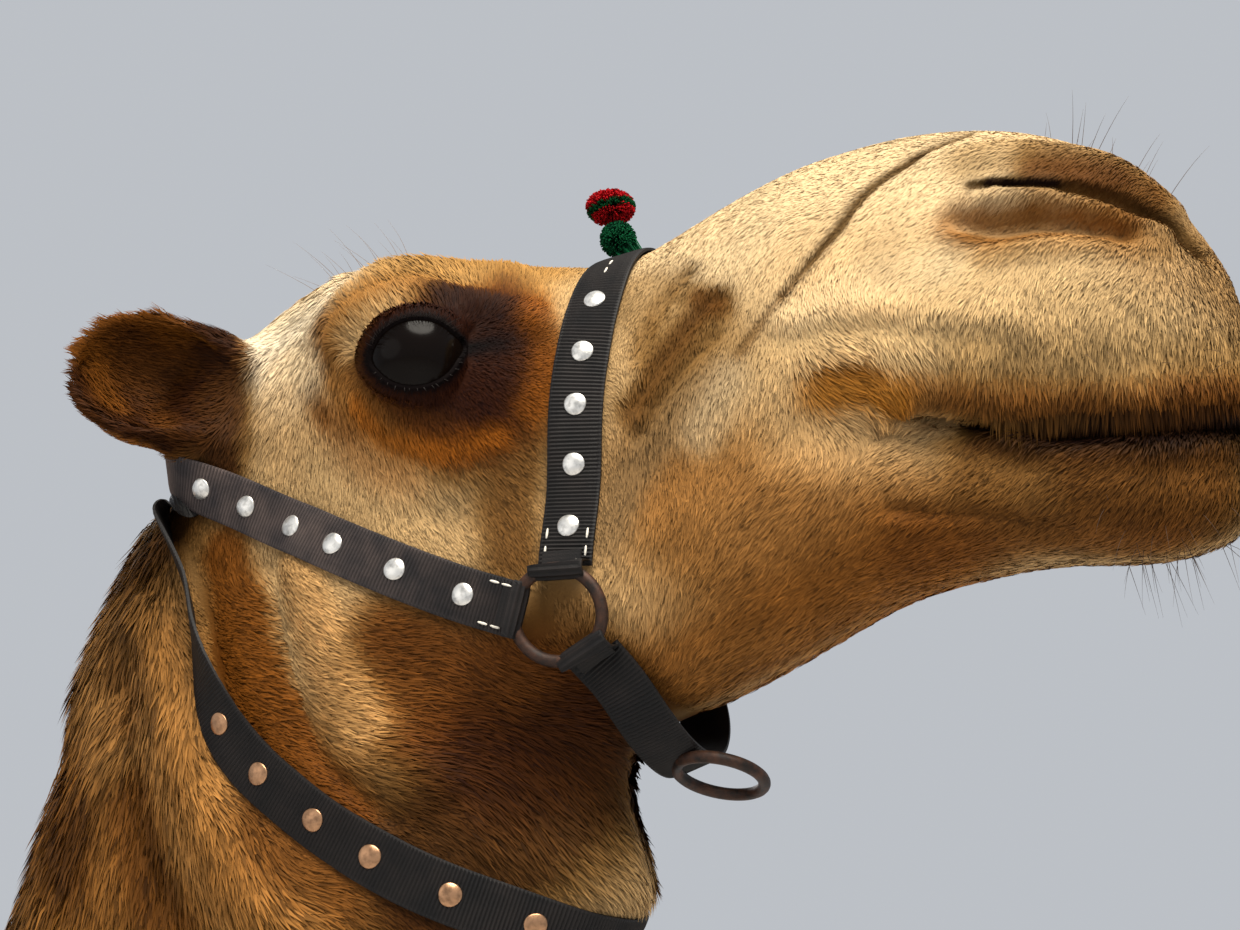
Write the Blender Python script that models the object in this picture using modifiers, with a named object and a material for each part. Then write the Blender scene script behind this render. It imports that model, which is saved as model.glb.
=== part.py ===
"""Dromedary camel, a grown animal standing still at life size, wearing a webbing halter.

Metres. +X is forward, +Y is the camel's left and +Z is up. The soles stand on the floor at Z = 0, and
the origin is on the floor under the middle of the whole animal.

The flesh is lofted in two wholes, the fore body (head and neck) and the rear body (neck root, trunk,
hump and legs), which thin flat cuts then part into named nodes. Ears, tail, eyes, toenails and every
piece of the halter are solids of their own, 0.3 mm clear of what they touch.
"""

import math

import bmesh
import bpy
import numpy as np
from mathutils import Matrix, Vector

# ---------------------------------------------------------------- driving dimensions
GAP = 0.0003                            # clearance between two pieces that touch
POLL = Vector((1.200, 0.0, 1.980))      # the joint of skull and neck, which the head is measured from
HEAD_PITCH = math.radians(12)           # the nose is carried this much above level
FORE_VOXEL = 0.0060                     # grain of the head and neck before they are thinned out
REAR_VOXEL = 0.0110                     # grain of the trunk and legs before they are thinned out
FORE_SMOOTHING = 5                      # passes over the places where the lofts meet
REAR_SMOOTHING = 6
FORE_TRIANGLES = 2200
REAR_TRIANGLES = 1720
TAIL_TRIANGLES = 180
TUFT_TRIANGLES = 120

EYE_RADIUS = 0.0240
EYE_CENTRE = (0.1985, 0.0760, 0.1120)   # left eyeball in the head's frame
EAR_LENGTH = 0.088
EAR_THICKNESS = 0.006

WEBBING_WIDTH = 0.0250
WEBBING_THICKNESS = 0.0028
CHEEK_RING_RADIUS = 0.0200              # middle of the wire
CHIN_RING_RADIUS = 0.0200
RING_WIRE_RADIUS = 0.0028

NAIL_SIZE = (0.020, 0.021, 0.013)       # half length, half width and half height of a toenail
NAIL_INSET = 0.020                      # its middle, back from the foot's front
NAIL_SPREAD = 0.037                     # and out from the foot's middle
NAIL_HEIGHT = 0.030
NAIL_YAW = 0.30
NAIL_PITCH = math.radians(20)
FLOOR_SIZE = 6.0                        # side of the block that levels the soles
CUT_SIZE = 0.70                         # side of the blocks that part the neck


# ---------------------------------------------------------------- shaping
def smooth_rows(rows, steps):
    """Catmull-Rom curve through the rows of numbers, with this many samples from each row to the next."""
    rows = [np.array(row, float) for row in rows]
    padded = [2 * rows[0] - rows[1]] + rows + [2 * rows[-1] - rows[-2]]
    samples = []
    for a, b, c, d in zip(padded, padded[1:], padded[2:], padded[3:]):
        for t in np.arange(steps) / steps:
            cubic = (3 * b - a - 3 * c + d) * t**3
            square = (2 * a - 5 * b + 4 * c - d) * t**2
            samples.append(0.5 * (2 * b + (c - a) * t + square + cubic))
    samples.append(rows[-1])
    return np.array(samples)


def section(centre, sideways, upward, half_width, above, below, powers=(2.3, 2.3), sides=32):
    """A ring of points: a rounded outline with its own heights above and below its widest level.

    The powers make the upper and the lower half pointed (under 2), round (2) or square (over 2)."""
    ring = []
    for angle in np.arange(sides) * 2 * math.pi / sides:
        c, s = math.cos(angle), math.sin(angle)
        power = powers[0] if s > 0 else powers[1]
        across = half_width * math.copysign(abs(c) ** (2 / power), c)
        height = (above if s > 0 else below) * math.copysign(abs(s) ** (2 / power), s)
        ring.append(centre + sideways * across + upward * height)
    return ring


def loft(name, rings):
    """A closed solid through rings of points that all have the same count."""
    bm = bmesh.new()
    loops = [[bm.verts.new(point) for point in ring] for ring in rings]
    for near, far in zip(loops, loops[1:]):
        for i in range(len(near)):
            j = (i + 1) % len(near)
            bm.faces.new((near[i], near[j], far[j], far[i]))
    bm.faces.new(list(reversed(loops[0])))
    bm.faces.new(loops[-1])
    bmesh.ops.triangulate(bm, faces=[f for f in bm.faces if len(f.verts) > 4])
    bmesh.ops.recalc_face_normals(bm, faces=bm.faces)
    return mesh_object(name, bm)


def mesh_object(name, bm):
    mesh = bpy.data.meshes.new(name)
    bm.to_mesh(mesh)
    bm.free()
    obj = bpy.data.objects.new(name, mesh)
    bpy.context.scene.collection.objects.link(obj)
    return obj


def straight_loft(name, rows, powers=(2.3, 2.3), place=Matrix.Identity(4)):
    """Loft with upright sections. Rows: forward, level of the widest point, half width, above, below."""
    rings = []
    turn = place.to_3x3()
    for x, z, half_width, above, below in smooth_rows(rows, 4):
        ring = section(
            place @ Vector((x, 0, z)),
            turn @ Vector((0, 1, 0)),
            turn @ Vector((0, 0, 1)),
            half_width,
            above,
            below,
            powers,
        )
        rings.append(ring)
    return loft(name, rings)


def bent_loft(name, rows):
    """Loft square to its own line. Rows: forward, up, half width, half depth behind and ahead."""
    samples = smooth_rows(rows, 4)
    line = np.gradient(samples[:, :2], axis=0)
    rings = []
    for (x, z, half_width, behind, ahead), (dx, dz) in zip(samples, line):
        along = Vector((dx, 0, dz)).normalized()
        square = Vector((-along.z, 0, along.x))
        sideways = Vector((0, 1, 0))
        rings.append(section(Vector((x, 0, z)), sideways, square, half_width, behind, ahead))
    return loft(name, rings)


def leg_loft(name, rows, side):
    """Loft with level sections. Rows: up, forward, out from the middle, half depth, half width."""
    rings = []
    for z, x, out, half_depth, half_width in smooth_rows(rows, 4):
        centre = Vector((x, side * out, z))
        forward, sideways = Vector((1, 0, 0)), Vector((0, 1, 0))
        rings.append(section(centre, forward, sideways, half_depth, half_width, half_width))
    return loft(name, rings)


def ball(name, centre, radii, turn=Matrix.Identity(4), segments=20, rings=12):
    """A sphere stretched to three half sizes."""
    bm = bmesh.new()
    place = Matrix.Translation(centre) @ turn @ Matrix.Diagonal((*radii, 1))
    bmesh.ops.create_uvsphere(bm, u_segments=segments, v_segments=rings, radius=1, matrix=place)
    return mesh_object(name, bm)


def block(name, centre, size, turn=Matrix.Identity(4)):
    bm = bmesh.new()
    place = Matrix.Translation(centre) @ turn @ Matrix.Diagonal((*size, 1))
    bmesh.ops.create_cube(bm, size=1, matrix=place)
    return mesh_object(name, bm)


def torus(name, centre, turn, radius, wire, segments=12, sides=6):
    bpy.ops.mesh.primitive_torus_add(
        major_segments=segments, minor_segments=sides, major_radius=radius, minor_radius=wire
    )
    obj = bpy.context.active_object
    obj.name = name
    obj.data.transform(Matrix.Translation(centre) @ turn)
    return obj


def bake(obj):
    """Replaces the object's mesh by what its modifiers make of it."""
    depsgraph = bpy.context.evaluated_depsgraph_get()
    mesh = bpy.data.meshes.new_from_object(obj.evaluated_get(depsgraph))
    obj.modifiers.clear()
    old = obj.data
    obj.data = mesh
    bpy.data.meshes.remove(old)
    return obj


def combine(obj, other, operation):
    """Boolean of two solids, kept in the first. The second stays as it is."""
    cut = obj.modifiers.new(operation.title(), "BOOLEAN")
    cut.operation = operation
    cut.object = other
    cut.solver = "EXACT"
    return bake(obj)


def copy(obj, name):
    twin = bpy.data.objects.new(name, obj.data.copy())
    bpy.context.scene.collection.objects.link(twin)
    return twin


def clear(obj, other):
    """Cuts the solid clear of another, with the usual gap."""
    clearance = swollen(other)
    combine(obj, clearance, "DIFFERENCE")
    discard(clearance)


def discard(*objects):
    for obj in objects:
        bpy.data.objects.remove(obj)


def swollen(obj, by=GAP):
    """A copy of the solid, grown all over, to cut its neighbours clear of it."""
    twin = copy(obj, obj.name + "_clearance")
    grow = twin.modifiers.new("Grow", "DISPLACE")
    grow.strength = by
    grow.mid_level = 0
    return bake(twin)


def flesh(name, pieces, voxel, triangles, smoothing):
    """One skin over overlapping lofts, smoothed where they meet, in about this many triangles."""
    bm = bmesh.new()
    for piece in pieces:
        bm.from_mesh(piece.data)
    discard(*pieces)
    obj = mesh_object(name, bm)
    remesh = obj.modifiers.new("Remesh", "REMESH")
    remesh.mode = "VOXEL"
    remesh.voxel_size = voxel
    smooth = obj.modifiers.new("Smooth", "SMOOTH")
    smooth.factor = 0.5
    smooth.iterations = smoothing
    bake(obj)
    return thin_out(obj, triangles)


def thin_out(obj, triangles):
    """Collapses a solid to about this many triangles."""
    tri = obj.modifiers.new("Triangulate", "TRIANGULATE")
    tri.min_vertices = 4
    bake(obj)
    count = len(obj.data.polygons)
    if count > triangles:
        thin = obj.modifiers.new("Thin", "DECIMATE")
        thin.ratio = triangles / count
        bake(obj)
    return obj


def take(body, name, region_centre, region_size, region_turn=Matrix.Identity(4)):
    """Parts off what lies inside a block as a node, with a thin gap left in the body."""
    region = block("region", region_centre, region_size, region_turn)
    part = combine(copy(body, name), region, "INTERSECT")
    wider = block("wider", region_centre, [size + 2 * GAP for size in region_size], region_turn)
    combine(body, wider, "DIFFERENCE")
    discard(region, wider)
    return part


# ---------------------------------------------------------------- the head's frame
HEAD = Matrix.Translation(POLL) @ Matrix.Rotation(-HEAD_PITCH, 4, "Y")


def head_place(x, y, z):
    """World place of a point measured forward, left and up from the poll, square to the head."""
    return HEAD @ Vector((x, y, z))


def head_ball(centre, radii, side, yaw=0.0, roll=0.0):
    yawed = Matrix.Rotation(side * yaw, 4, "Z")
    rolled = Matrix.Rotation(side * roll, 4, "X")
    turn = HEAD.to_3x3().to_4x4() @ yawed @ rolled
    x, y, z = centre
    return ball("bump", head_place(x, side * y, z), radii, turn)


# ---------------------------------------------------------------- head and neck
# Forward from the poll, level of the widest point, half width, height above it, depth below it.
SKULL_AND_MUZZLE = [
    (-0.050, -0.010, 0.050, 0.045, 0.070),
    (0.000, 0.020, 0.060, 0.072, 0.070),
    (0.040, 0.060, 0.064, 0.070, 0.090),
    (0.080, 0.090, 0.068, 0.074, 0.110),
    (0.120, 0.105, 0.072, 0.079, 0.120),
    (0.160, 0.105, 0.074, 0.084, 0.120),
    (0.200, 0.100, 0.076, 0.083, 0.105),
    (0.240, 0.085, 0.070, 0.084, 0.080),
    (0.290, 0.065, 0.060, 0.089, 0.055),
    (0.340, 0.055, 0.055, 0.111, 0.032),
    (0.380, 0.050, 0.056, 0.122, 0.020),
    (0.430, 0.042, 0.058, 0.126, 0.026),
    (0.480, 0.036, 0.057, 0.115, 0.038),
    (0.510, 0.034, 0.050, 0.094, 0.048),
    (0.532, 0.034, 0.038, 0.064, 0.052),
    (0.544, 0.034, 0.022, 0.036, 0.040),
    (0.549, 0.034, 0.007, 0.013, 0.014),
]
LOWER_JAW = [
    (0.030, -0.010, 0.045, 0.050, 0.040),
    (0.080, -0.010, 0.058, 0.060, 0.050),
    (0.120, -0.012, 0.064, 0.070, 0.058),
    (0.180, -0.010, 0.068, 0.070, 0.063),
    (0.240, -0.004, 0.069, 0.060, 0.068),
    (0.300, 0.000, 0.060, 0.050, 0.064),
    (0.350, 0.004, 0.055, 0.045, 0.055),
    (0.385, -0.004, 0.051, 0.030, 0.040),
    (0.440, -0.016, 0.047, 0.020, 0.031),
    (0.480, -0.026, 0.045, 0.030, 0.033),
    (0.510, -0.032, 0.038, 0.026, 0.029),
    (0.527, -0.035, 0.025, 0.018, 0.020),
    (0.533, -0.036, 0.008, 0.006, 0.008),
]
# Forward, up, half width, half depth behind the line (crest) and ahead of it (throat).
NECK = [
    (1.355, 2.060, 0.060, 0.090, 0.090),
    (1.305, 1.975, 0.080, 0.146, 0.140),
    (1.268, 1.880, 0.086, 0.170, 0.150),
    (1.218, 1.770, 0.086, 0.155, 0.134),
    (1.155, 1.645, 0.086, 0.125, 0.120),
    (1.050, 1.525, 0.090, 0.122, 0.120),
    (0.910, 1.440, 0.098, 0.130, 0.128),
    (0.760, 1.405, 0.115, 0.150, 0.145),
    (0.600, 1.410, 0.155, 0.205, 0.185),
    (0.450, 1.430, 0.200, 0.270, 0.250),
    (0.320, 1.440, 0.220, 0.300, 0.300),
]


def head_bumps():
    """The swellings that the plain lofts lack, on both sides: brow, cheek, chewing muscle and nostril."""
    bumps = []
    for side in (1, -1):
        bumps.append(head_ball((0.186, 0.060, 0.112), (0.050, 0.034, 0.044), side, yaw=0.15))
        bumps.append(head_ball((0.178, 0.056, 0.142), (0.044, 0.034, 0.028), side, yaw=0.10, roll=0.5))
        bumps.append(head_ball((0.150, 0.044, 0.010), (0.082, 0.034, 0.074), side, yaw=-0.08))
        bumps.append(head_ball((0.075, 0.050, 0.110), (0.032, 0.026, 0.048), side))
        bumps.append(head_ball((0.493, 0.024, 0.090), (0.040, 0.027, 0.030), side, yaw=-0.25))
    return bumps


def build_fore_body():
    skull = straight_loft("skull", SKULL_AND_MUZZLE, (2.1, 2.6), HEAD)
    jaw = straight_loft("jaw", LOWER_JAW, (2.4, 2.4), HEAD)
    neck = bent_loft("neck", NECK)
    pieces = [skull, jaw, neck] + head_bumps()
    return flesh("fore_body", pieces, FORE_VOXEL, FORE_TRIANGLES, FORE_SMOOTHING)


# ---------------------------------------------------------------- trunk, hump and legs
TRUNK = [
    (0.640, 1.340, 0.060, 0.070, 0.080),
    (0.580, 1.360, 0.140, 0.190, 0.190),
    (0.500, 1.380, 0.205, 0.300, 0.300),
    (0.400, 1.390, 0.245, 0.380, 0.375),
    (0.260, 1.390, 0.275, 0.425, 0.390),
    (0.100, 1.390, 0.300, 0.440, 0.375),
    (-0.100, 1.400, 0.310, 0.440, 0.345),
    (-0.300, 1.420, 0.300, 0.390, 0.290),
    (-0.480, 1.450, 0.270, 0.310, 0.230),
    (-0.620, 1.470, 0.230, 0.235, 0.200),
    (-0.740, 1.460, 0.175, 0.180, 0.180),
    (-0.820, 1.440, 0.110, 0.125, 0.140),
    (-0.860, 1.430, 0.040, 0.050, 0.060),
]
HUMP = [
    (-0.500, 1.700, 0.050, 0.050, 0.050),
    (-0.400, 1.700, 0.130, 0.155, 0.100),
    (-0.260, 1.700, 0.180, 0.280, 0.100),
    (-0.090, 1.700, 0.195, 0.365, 0.100),
    (0.080, 1.700, 0.180, 0.310, 0.100),
    (0.220, 1.700, 0.140, 0.200, 0.100),
    (0.340, 1.700, 0.070, 0.100, 0.050),
]
# Up, forward, out from the middle, half depth, half width.
FORELEG = [
    (1.560, 0.330, 0.140, 0.090, 0.060),
    (1.420, 0.350, 0.170, 0.140, 0.080),
    (1.280, 0.365, 0.185, 0.135, 0.082),
    (1.130, 0.350, 0.182, 0.105, 0.068),
    (0.980, 0.355, 0.172, 0.076, 0.056),
    (0.800, 0.370, 0.165, 0.054, 0.047),
    (0.660, 0.382, 0.160, 0.053, 0.052),
    (0.590, 0.388, 0.160, 0.060, 0.056),
    (0.520, 0.384, 0.160, 0.050, 0.050),
    (0.440, 0.380, 0.160, 0.036, 0.038),
    (0.300, 0.380, 0.160, 0.033, 0.035),
    (0.190, 0.378, 0.160, 0.040, 0.042),
    (0.140, 0.378, 0.160, 0.048, 0.050),
    (0.100, 0.390, 0.160, 0.050, 0.054),
    (0.065, 0.408, 0.160, 0.080, 0.074),
    (0.030, 0.418, 0.160, 0.105, 0.090),
    (0.000, 0.418, 0.160, 0.104, 0.088),
    (-0.030, 0.416, 0.160, 0.080, 0.070),
]
HIND_LEG = [
    (1.560, -0.600, 0.110, 0.130, 0.060),
    (1.420, -0.585, 0.150, 0.185, 0.088),
    (1.260, -0.545, 0.175, 0.170, 0.088),
    (1.120, -0.535, 0.180, 0.130, 0.072),
    (0.980, -0.580, 0.176, 0.092, 0.055),
    (0.850, -0.640, 0.168, 0.062, 0.043),
    (0.750, -0.680, 0.164, 0.058, 0.045),
    (0.680, -0.682, 0.162, 0.056, 0.046),
    (0.600, -0.668, 0.160, 0.042, 0.038),
    (0.450, -0.655, 0.160, 0.034, 0.034),
    (0.300, -0.645, 0.160, 0.034, 0.034),
    (0.190, -0.635, 0.160, 0.040, 0.041),
    (0.140, -0.630, 0.160, 0.046, 0.048),
    (0.100, -0.615, 0.160, 0.048, 0.052),
    (0.065, -0.598, 0.160, 0.074, 0.068),
    (0.030, -0.588, 0.160, 0.096, 0.082),
    (0.000, -0.588, 0.160, 0.095, 0.080),
    (-0.030, -0.590, 0.160, 0.074, 0.064),
]
# Stride is how far each foot is ahead or behind. Top, knee and fetlock are the heights of the cuts, and
# forward and reach the place and length of the block that holds the leg.
LEGS = {
    "fore": dict(
        rows=FORELEG, stride=0.045, top=0.985, knee=0.600, fetlock=0.150, forward=0.38, reach=0.60
    ),
    "hind": dict(
        rows=HIND_LEG, stride=-0.050, top=1.150, knee=0.720, fetlock=0.150, forward=-0.66, reach=0.54
    ),
}
LEG_BLOCK_MIDDLE = 0.215                # out from the animal's middle, clear of the other side's leg
LEG_BLOCK_WIDTH = 0.37
HUMP_BLOCK_FOOT = (-0.070, 0, 1.795)    # the middle of its floor, where the hump rises from the back
HUMP_BLOCK_SIZE = (0.64, 0.60, 0.50)
NECK_BASE_BACK = (0.600, 0, 1.40)       # a point on the cut between neck root and trunk
NECK_BASE_TILT = math.radians(-8)
NECK_BASE_SIZE = (0.80, 0.50, 0.90)
SIDES = {"left": 1, "right": -1}


def stepped(rows, stride):
    """The same leg with its foot this much further forward and its top left where it is."""
    top = rows[0][0]
    return [(z, x + stride * (1 - max(z, 0) / top), *rest) for z, x, *rest in rows]


def build_rear_body():
    pieces = [
        straight_loft("trunk", TRUNK, (2.2, 2.3)),
        straight_loft("hump", HUMP, (1.8, 2.0)),
        bent_loft("neck_root", NECK[4:]),
        ball("chest_pad", Vector((0.330, 0, 1.040)), (0.105, 0.085, 0.050)),
    ]
    for side_name, side in SIDES.items():
        for pair in LEGS.values():
            pieces.append(leg_loft("leg", stepped(pair["rows"], side * pair["stride"]), side))
    return flesh("rear_body", pieces, REAR_VOXEL, REAR_TRIANGLES, REAR_SMOOTHING)


def part_rear_body(body):
    """Levels the soles and parts the rear body into neck root, hump, trunk and twelve lengths of leg."""
    nodes = []
    below = block("below", Vector((0, 0, -FLOOR_SIZE / 2)), (FLOOR_SIZE, FLOOR_SIZE, FLOOR_SIZE))
    combine(body, below, "DIFFERENCE")
    discard(below)
    for pair_name, pair in LEGS.items():
        for side_name, side in SIDES.items():
            lengths = (("foot", pair["fetlock"]), ("lower", pair["knee"]), ("upper", pair["top"]))
            for length_name, top in lengths:
                size = (pair["reach"], LEG_BLOCK_WIDTH, 2 * top)
                centre = Vector((pair["forward"], side * LEG_BLOCK_MIDDLE, 0))
                nodes.append(take(body, f"{pair_name}leg_{side_name}_{length_name}", centre, size))
    above = Vector((0, 0, HUMP_BLOCK_SIZE[2] / 2))
    nodes.append(take(body, "hump", Vector(HUMP_BLOCK_FOOT) + above, HUMP_BLOCK_SIZE))
    point, lean = NECK_CUTS["neck_middle"]
    turn = Matrix.Rotation(lean, 4, "Y")
    beyond = turn @ Vector((0, 0, CUT_SIZE / 2))
    discard(take(body, "beyond", point + beyond, (CUT_SIZE, CUT_SIZE, CUT_SIZE), turn))
    tilt = Matrix.Rotation(NECK_BASE_TILT, 4, "Y")
    ahead = Vector((NECK_BASE_SIZE[0] / 2, 0, 0))
    nodes.append(take(body, "neck_base", Vector(NECK_BASE_BACK) + ahead, NECK_BASE_SIZE, tilt))
    body.name = "trunk"
    nodes.append(body)
    return nodes


# ---------------------------------------------------------------- parting the fore body
NECK_CUTS = {                           # a point on the cut and the neck's slope there
    "head": (head_place(0.067, 0, -0.020), math.radians(-17)),
    "neck_upper": (Vector((1.190, 0, 1.705)), math.radians(27)),
    "neck_middle": (Vector((0.940, 0, 1.455)), math.radians(62)),
}


def part_fore_body(body):
    """Parts off head, upper neck and middle neck in turn. The rear body's neck root replaces the rest."""
    nodes = []
    for name, (point, lean) in NECK_CUTS.items():
        turn = Matrix.Rotation(lean, 4, "Y")
        ahead = turn @ Vector((1, 0, 0)) if name == "head" else turn @ Vector((0, 0, 1))
        size = (CUT_SIZE, CUT_SIZE, CUT_SIZE)
        if name == "head":
            size = (CUT_SIZE, CUT_SIZE, 2 * CUT_SIZE)
        nodes.append(take(body, name, point + ahead * (CUT_SIZE / 2), size, turn))
    discard(body)
    return nodes


# ---------------------------------------------------------------- eyes, ears, tail and toenails
def build_eyes(head):
    """Eyeballs in sockets that clear them all round."""
    eyes = []
    x, y, z = EYE_CENTRE
    for side_name, side in SIDES.items():
        centre = head_place(x, side * y, z)
        radii = [EYE_RADIUS] * 3
        eyes.append(ball("eye_" + side_name, centre, radii, segments=12, rings=8))
        socket = ball("socket", centre, [EYE_RADIUS + 2 * GAP] * 3, segments=12, rings=8)
        combine(head, socket, "DIFFERENCE")
        discard(socket)
    return eyes


EAR_BASE = (0.092, 0.050, 0.128)        # left ear in the head's frame
EAR_TIP = (0.045, 0.108, 0.155)
EAR_FACING = (0.62, 0.78, -0.10)        # the way the open side looks
# How far along the ear, half width, and how far round the cup closes (degrees either side).
EAR_SHAPE = [
    (-0.25, 0.024, 150),
    (0.10, 0.029, 140),
    (0.35, 0.034, 122),
    (0.65, 0.035, 105),
    (0.90, 0.026, 95),
    (1.00, 0.010, 90),
]


def build_ear(side_name, side, flesh):
    """A cupped leaf of even thickness whose foot is trimmed to the head."""
    base = Vector((EAR_BASE[0], side * EAR_BASE[1], EAR_BASE[2]))
    tip = Vector((EAR_TIP[0], side * EAR_TIP[1], EAR_TIP[2]))
    axis = (tip - base).normalized()
    facing = Vector((EAR_FACING[0], side * EAR_FACING[1], EAR_FACING[2]))
    facing = (facing - axis * facing.dot(axis)).normalized()
    across = axis.cross(facing) * side
    rings = []
    for t, half_width, closes in smooth_rows(EAR_SHAPE, 1):
        centre = base + axis * (t * EAR_LENGTH)
        angles = np.radians(np.linspace(-closes, closes, 7))
        inner = max(half_width - EAR_THICKNESS, half_width * 0.3)
        round_cup = [across * math.sin(a) - facing * math.cos(a) for a in angles]
        ring = [centre + spoke * half_width for spoke in round_cup]
        ring += [centre + spoke * inner for spoke in round_cup[::-1]]
        rings.append([HEAD @ point for point in ring])
    ear = loft("ear_" + side_name, rings)
    clear(ear, flesh)
    return keep_largest(ear)


def keep_largest(obj):
    """Drops the scraps that a cut leaves beside a solid."""
    bm = bmesh.new()
    bm.from_mesh(obj.data)
    bm.verts.ensure_lookup_table()
    left = set(bm.verts)
    groups = []
    while left:
        group = {left.pop()}
        edge = list(group)
        while edge:
            vert = edge.pop()
            for link in vert.link_edges:
                other = link.other_vert(vert)
                if other in left:
                    left.remove(other)
                    group.add(other)
                    edge.append(other)
        groups.append(group)
    groups.sort(key=len)
    for group in groups[:-1]:
        bmesh.ops.delete(bm, geom=list(group), context="VERTS")
    bm.to_mesh(obj.data)
    bm.free()
    return obj


TAIL_END = 1.080                        # the height where the tail's tuft begins
SEAM_BLOCK = (0.3, 0.3, 0.20)
# Forward, up, half width, half depth behind and ahead.
TAIL_LINE = [
    (-0.790, 1.560, 0.030, 0.030, 0.030),
    (-0.850, 1.500, 0.030, 0.028, 0.028),
    (-0.885, 1.380, 0.024, 0.022, 0.022),
    (-0.890, 1.220, 0.017, 0.017, 0.017),
    (-0.885, TAIL_END, 0.017, 0.018, 0.018),
]
TUFT_LINE = [
    (-0.885, TAIL_END - GAP, 0.018, 0.019, 0.019),
    (-0.884, 1.030, 0.026, 0.028, 0.028),
    (-0.882, 0.940, 0.024, 0.028, 0.028),
    (-0.880, 0.860, 0.008, 0.010, 0.010),
]


def build_tail(trunk):
    """The tail and its tuft, cut level and a gap apart where they meet."""
    tail = bent_loft("tail", TAIL_LINE)
    thin_out(tail, TAIL_TRIANGLES)
    clear(tail, trunk)
    tuft = bent_loft("tail_tuft", TUFT_LINE)
    forward, half_block = TAIL_LINE[-1][0], SEAM_BLOCK[2] / 2
    above = block("above", Vector((forward, 0, TAIL_END - GAP + half_block)), SEAM_BLOCK)
    combine(tuft, above, "DIFFERENCE")
    below = block("below", Vector((forward, 0, TAIL_END - half_block)), SEAM_BLOCK)
    combine(tail, below, "DIFFERENCE")
    discard(above, below)
    thin_out(tuft, TUFT_TRIANGLES)
    return [keep_largest(tail), tuft]


def build_nails(nodes):
    """Two toenails at the front of each foot, let into the pad."""
    nails = []
    for pair_name, pair in LEGS.items():
        for side_name, side in SIDES.items():
            foot = nodes[f"{pair_name}leg_{side_name}_foot"]
            front = max(v.co.x for v in foot.data.vertices)
            middle = side * pair["rows"][-2][2]
            for toe_name, toe in (("outer", side), ("inner", -side)):
                centre = Vector((front - NAIL_INSET, middle + toe * NAIL_SPREAD, NAIL_HEIGHT))
                turn = Matrix.Rotation(toe * NAIL_YAW, 4, "Z") @ Matrix.Rotation(NAIL_PITCH, 4, "Y")
                name = f"nail_{pair_name}_{side_name}_{toe_name}"
                nail = ball(name, centre, NAIL_SIZE, turn, segments=6, rings=4)
                clearance = [size + 2 * GAP for size in NAIL_SIZE]
                hollow = ball("hollow", centre, clearance, turn, segments=6, rings=4)
                combine(foot, hollow, "DIFFERENCE")
                discard(hollow)
                nails.append(nail)
    return nails


# ---------------------------------------------------------------- halter
# Side views of the straps' middle lines, forward and up in the head's frame, from the top down.
STRAP_LINES = {
    "noseband": [(0.300, 0.200), (0.282, 0.123), (0.266, 0.068), (0.252, 0.014), (0.247, -0.005)],
    "crown": [
        (0.020, 0.160), (0.050, 0.107), (0.092, 0.073), (0.145, 0.034), (0.190, 0.003), (0.226, -0.018)
    ],
    "throat_strap": [
        (0.047, 0.080), (0.061, 0.030), (0.073, -0.031), (0.104, -0.073), (0.150, -0.116), (0.215, -0.160)
    ],
    "chin_strap": [(0.249, -0.040), (0.258, -0.062), (0.262, -0.110)],
}
CHEEK_RING_PLACE = (0.246, 0.090, -0.027)           # the left ring's, in the head's frame
CHIN_STRAP_SLACK = 0.022                # how far the chin strap hangs clear under the jaw
CHIN_RING_TILT = math.radians(4)        # the ring's front is this much lower than the jaw's line
CHIN_RING_ROLL = math.radians(21)       # and its right side this much higher than its left
POMPOM_RADII = {"green": 0.0090, "red": 0.0105}     # from the noseband upwards
POMPOM_FORWARD = 0.281
POMPOM_LOOKED_FOR_AT = 0.30             # a height above the bridge of the nose
RELIEF_PASSES = 3
STRAP_GAP = 0.0010                      # the webbing rides this high on the coat
STRAP_STEP = 0.026
STRAP_END_RISE = 0.004                  # a strap's end lifts this much to its ring
LOOP_RADIUS = 0.0056
LOOP_LENGTH = 0.017


def side_route(flesh, line, side, reach=0.5):
    """The line as it lies on one side of the flesh, from the top down, as far as the outline goes."""
    found = []
    sideways = Vector((0, side, 0))
    for x, z in smooth_rows(line, 24):
        start = head_place(x, 0, z) + sideways * reach
        hit, place, _, _ = flesh.ray_cast(start, -sideways)
        if hit and place.y * side > 0:
            found.append(place)
    return found


def spaced(line, step):
    """The same line with its points evenly spaced."""
    points = np.array([tuple(p) for p in line])
    run = np.concatenate([[0], np.cumsum(np.linalg.norm(np.diff(points, axis=0), axis=1))])
    at = np.linspace(0, run[-1], max(3, int(round(run[-1] / step)) + 1))
    return [Vector([np.interp(t, run, points[:, k]) for k in range(3)]) for t in at]


def ribbon(name, flesh, line, slack=0.0, rise=0.0):
    """A strap's solid along the line, three points wide, lying on the flesh with the usual gap.

    The middle of its run hangs away from the flesh by the slack, and its ends lift by the rise."""
    laid = [flesh.closest_point_on_mesh(point)[1:3] for point in line]
    lows, outs = [], []
    for i, (point, _) in enumerate(laid):
        hang = slack * math.sin(math.pi * i / (len(laid) - 1)) ** 2
        near = laid[max(i - 1, 0) : i + 2]
        out = sum((normal for _, normal in near), Vector()).normalized()
        along = (near[-1][0] - near[0][0]).normalized()
        across = along.cross(out).normalized() * WEBBING_WIDTH / 2
        lows.append([point + across * edge + out * hang for edge in (-1, 0, 1)])
        outs.append(out)
    for _ in range(RELIEF_PASSES):
        relieve(flesh, lows, outs)
    for end in (0, -1):
        lows[end] = [place + outs[end] * rise for place in lows[end]]
    rings = [low + [place + out * WEBBING_THICKNESS for place in low[::-1]] for low, out in zip(lows, outs)]
    return loft(name, rings)


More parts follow.
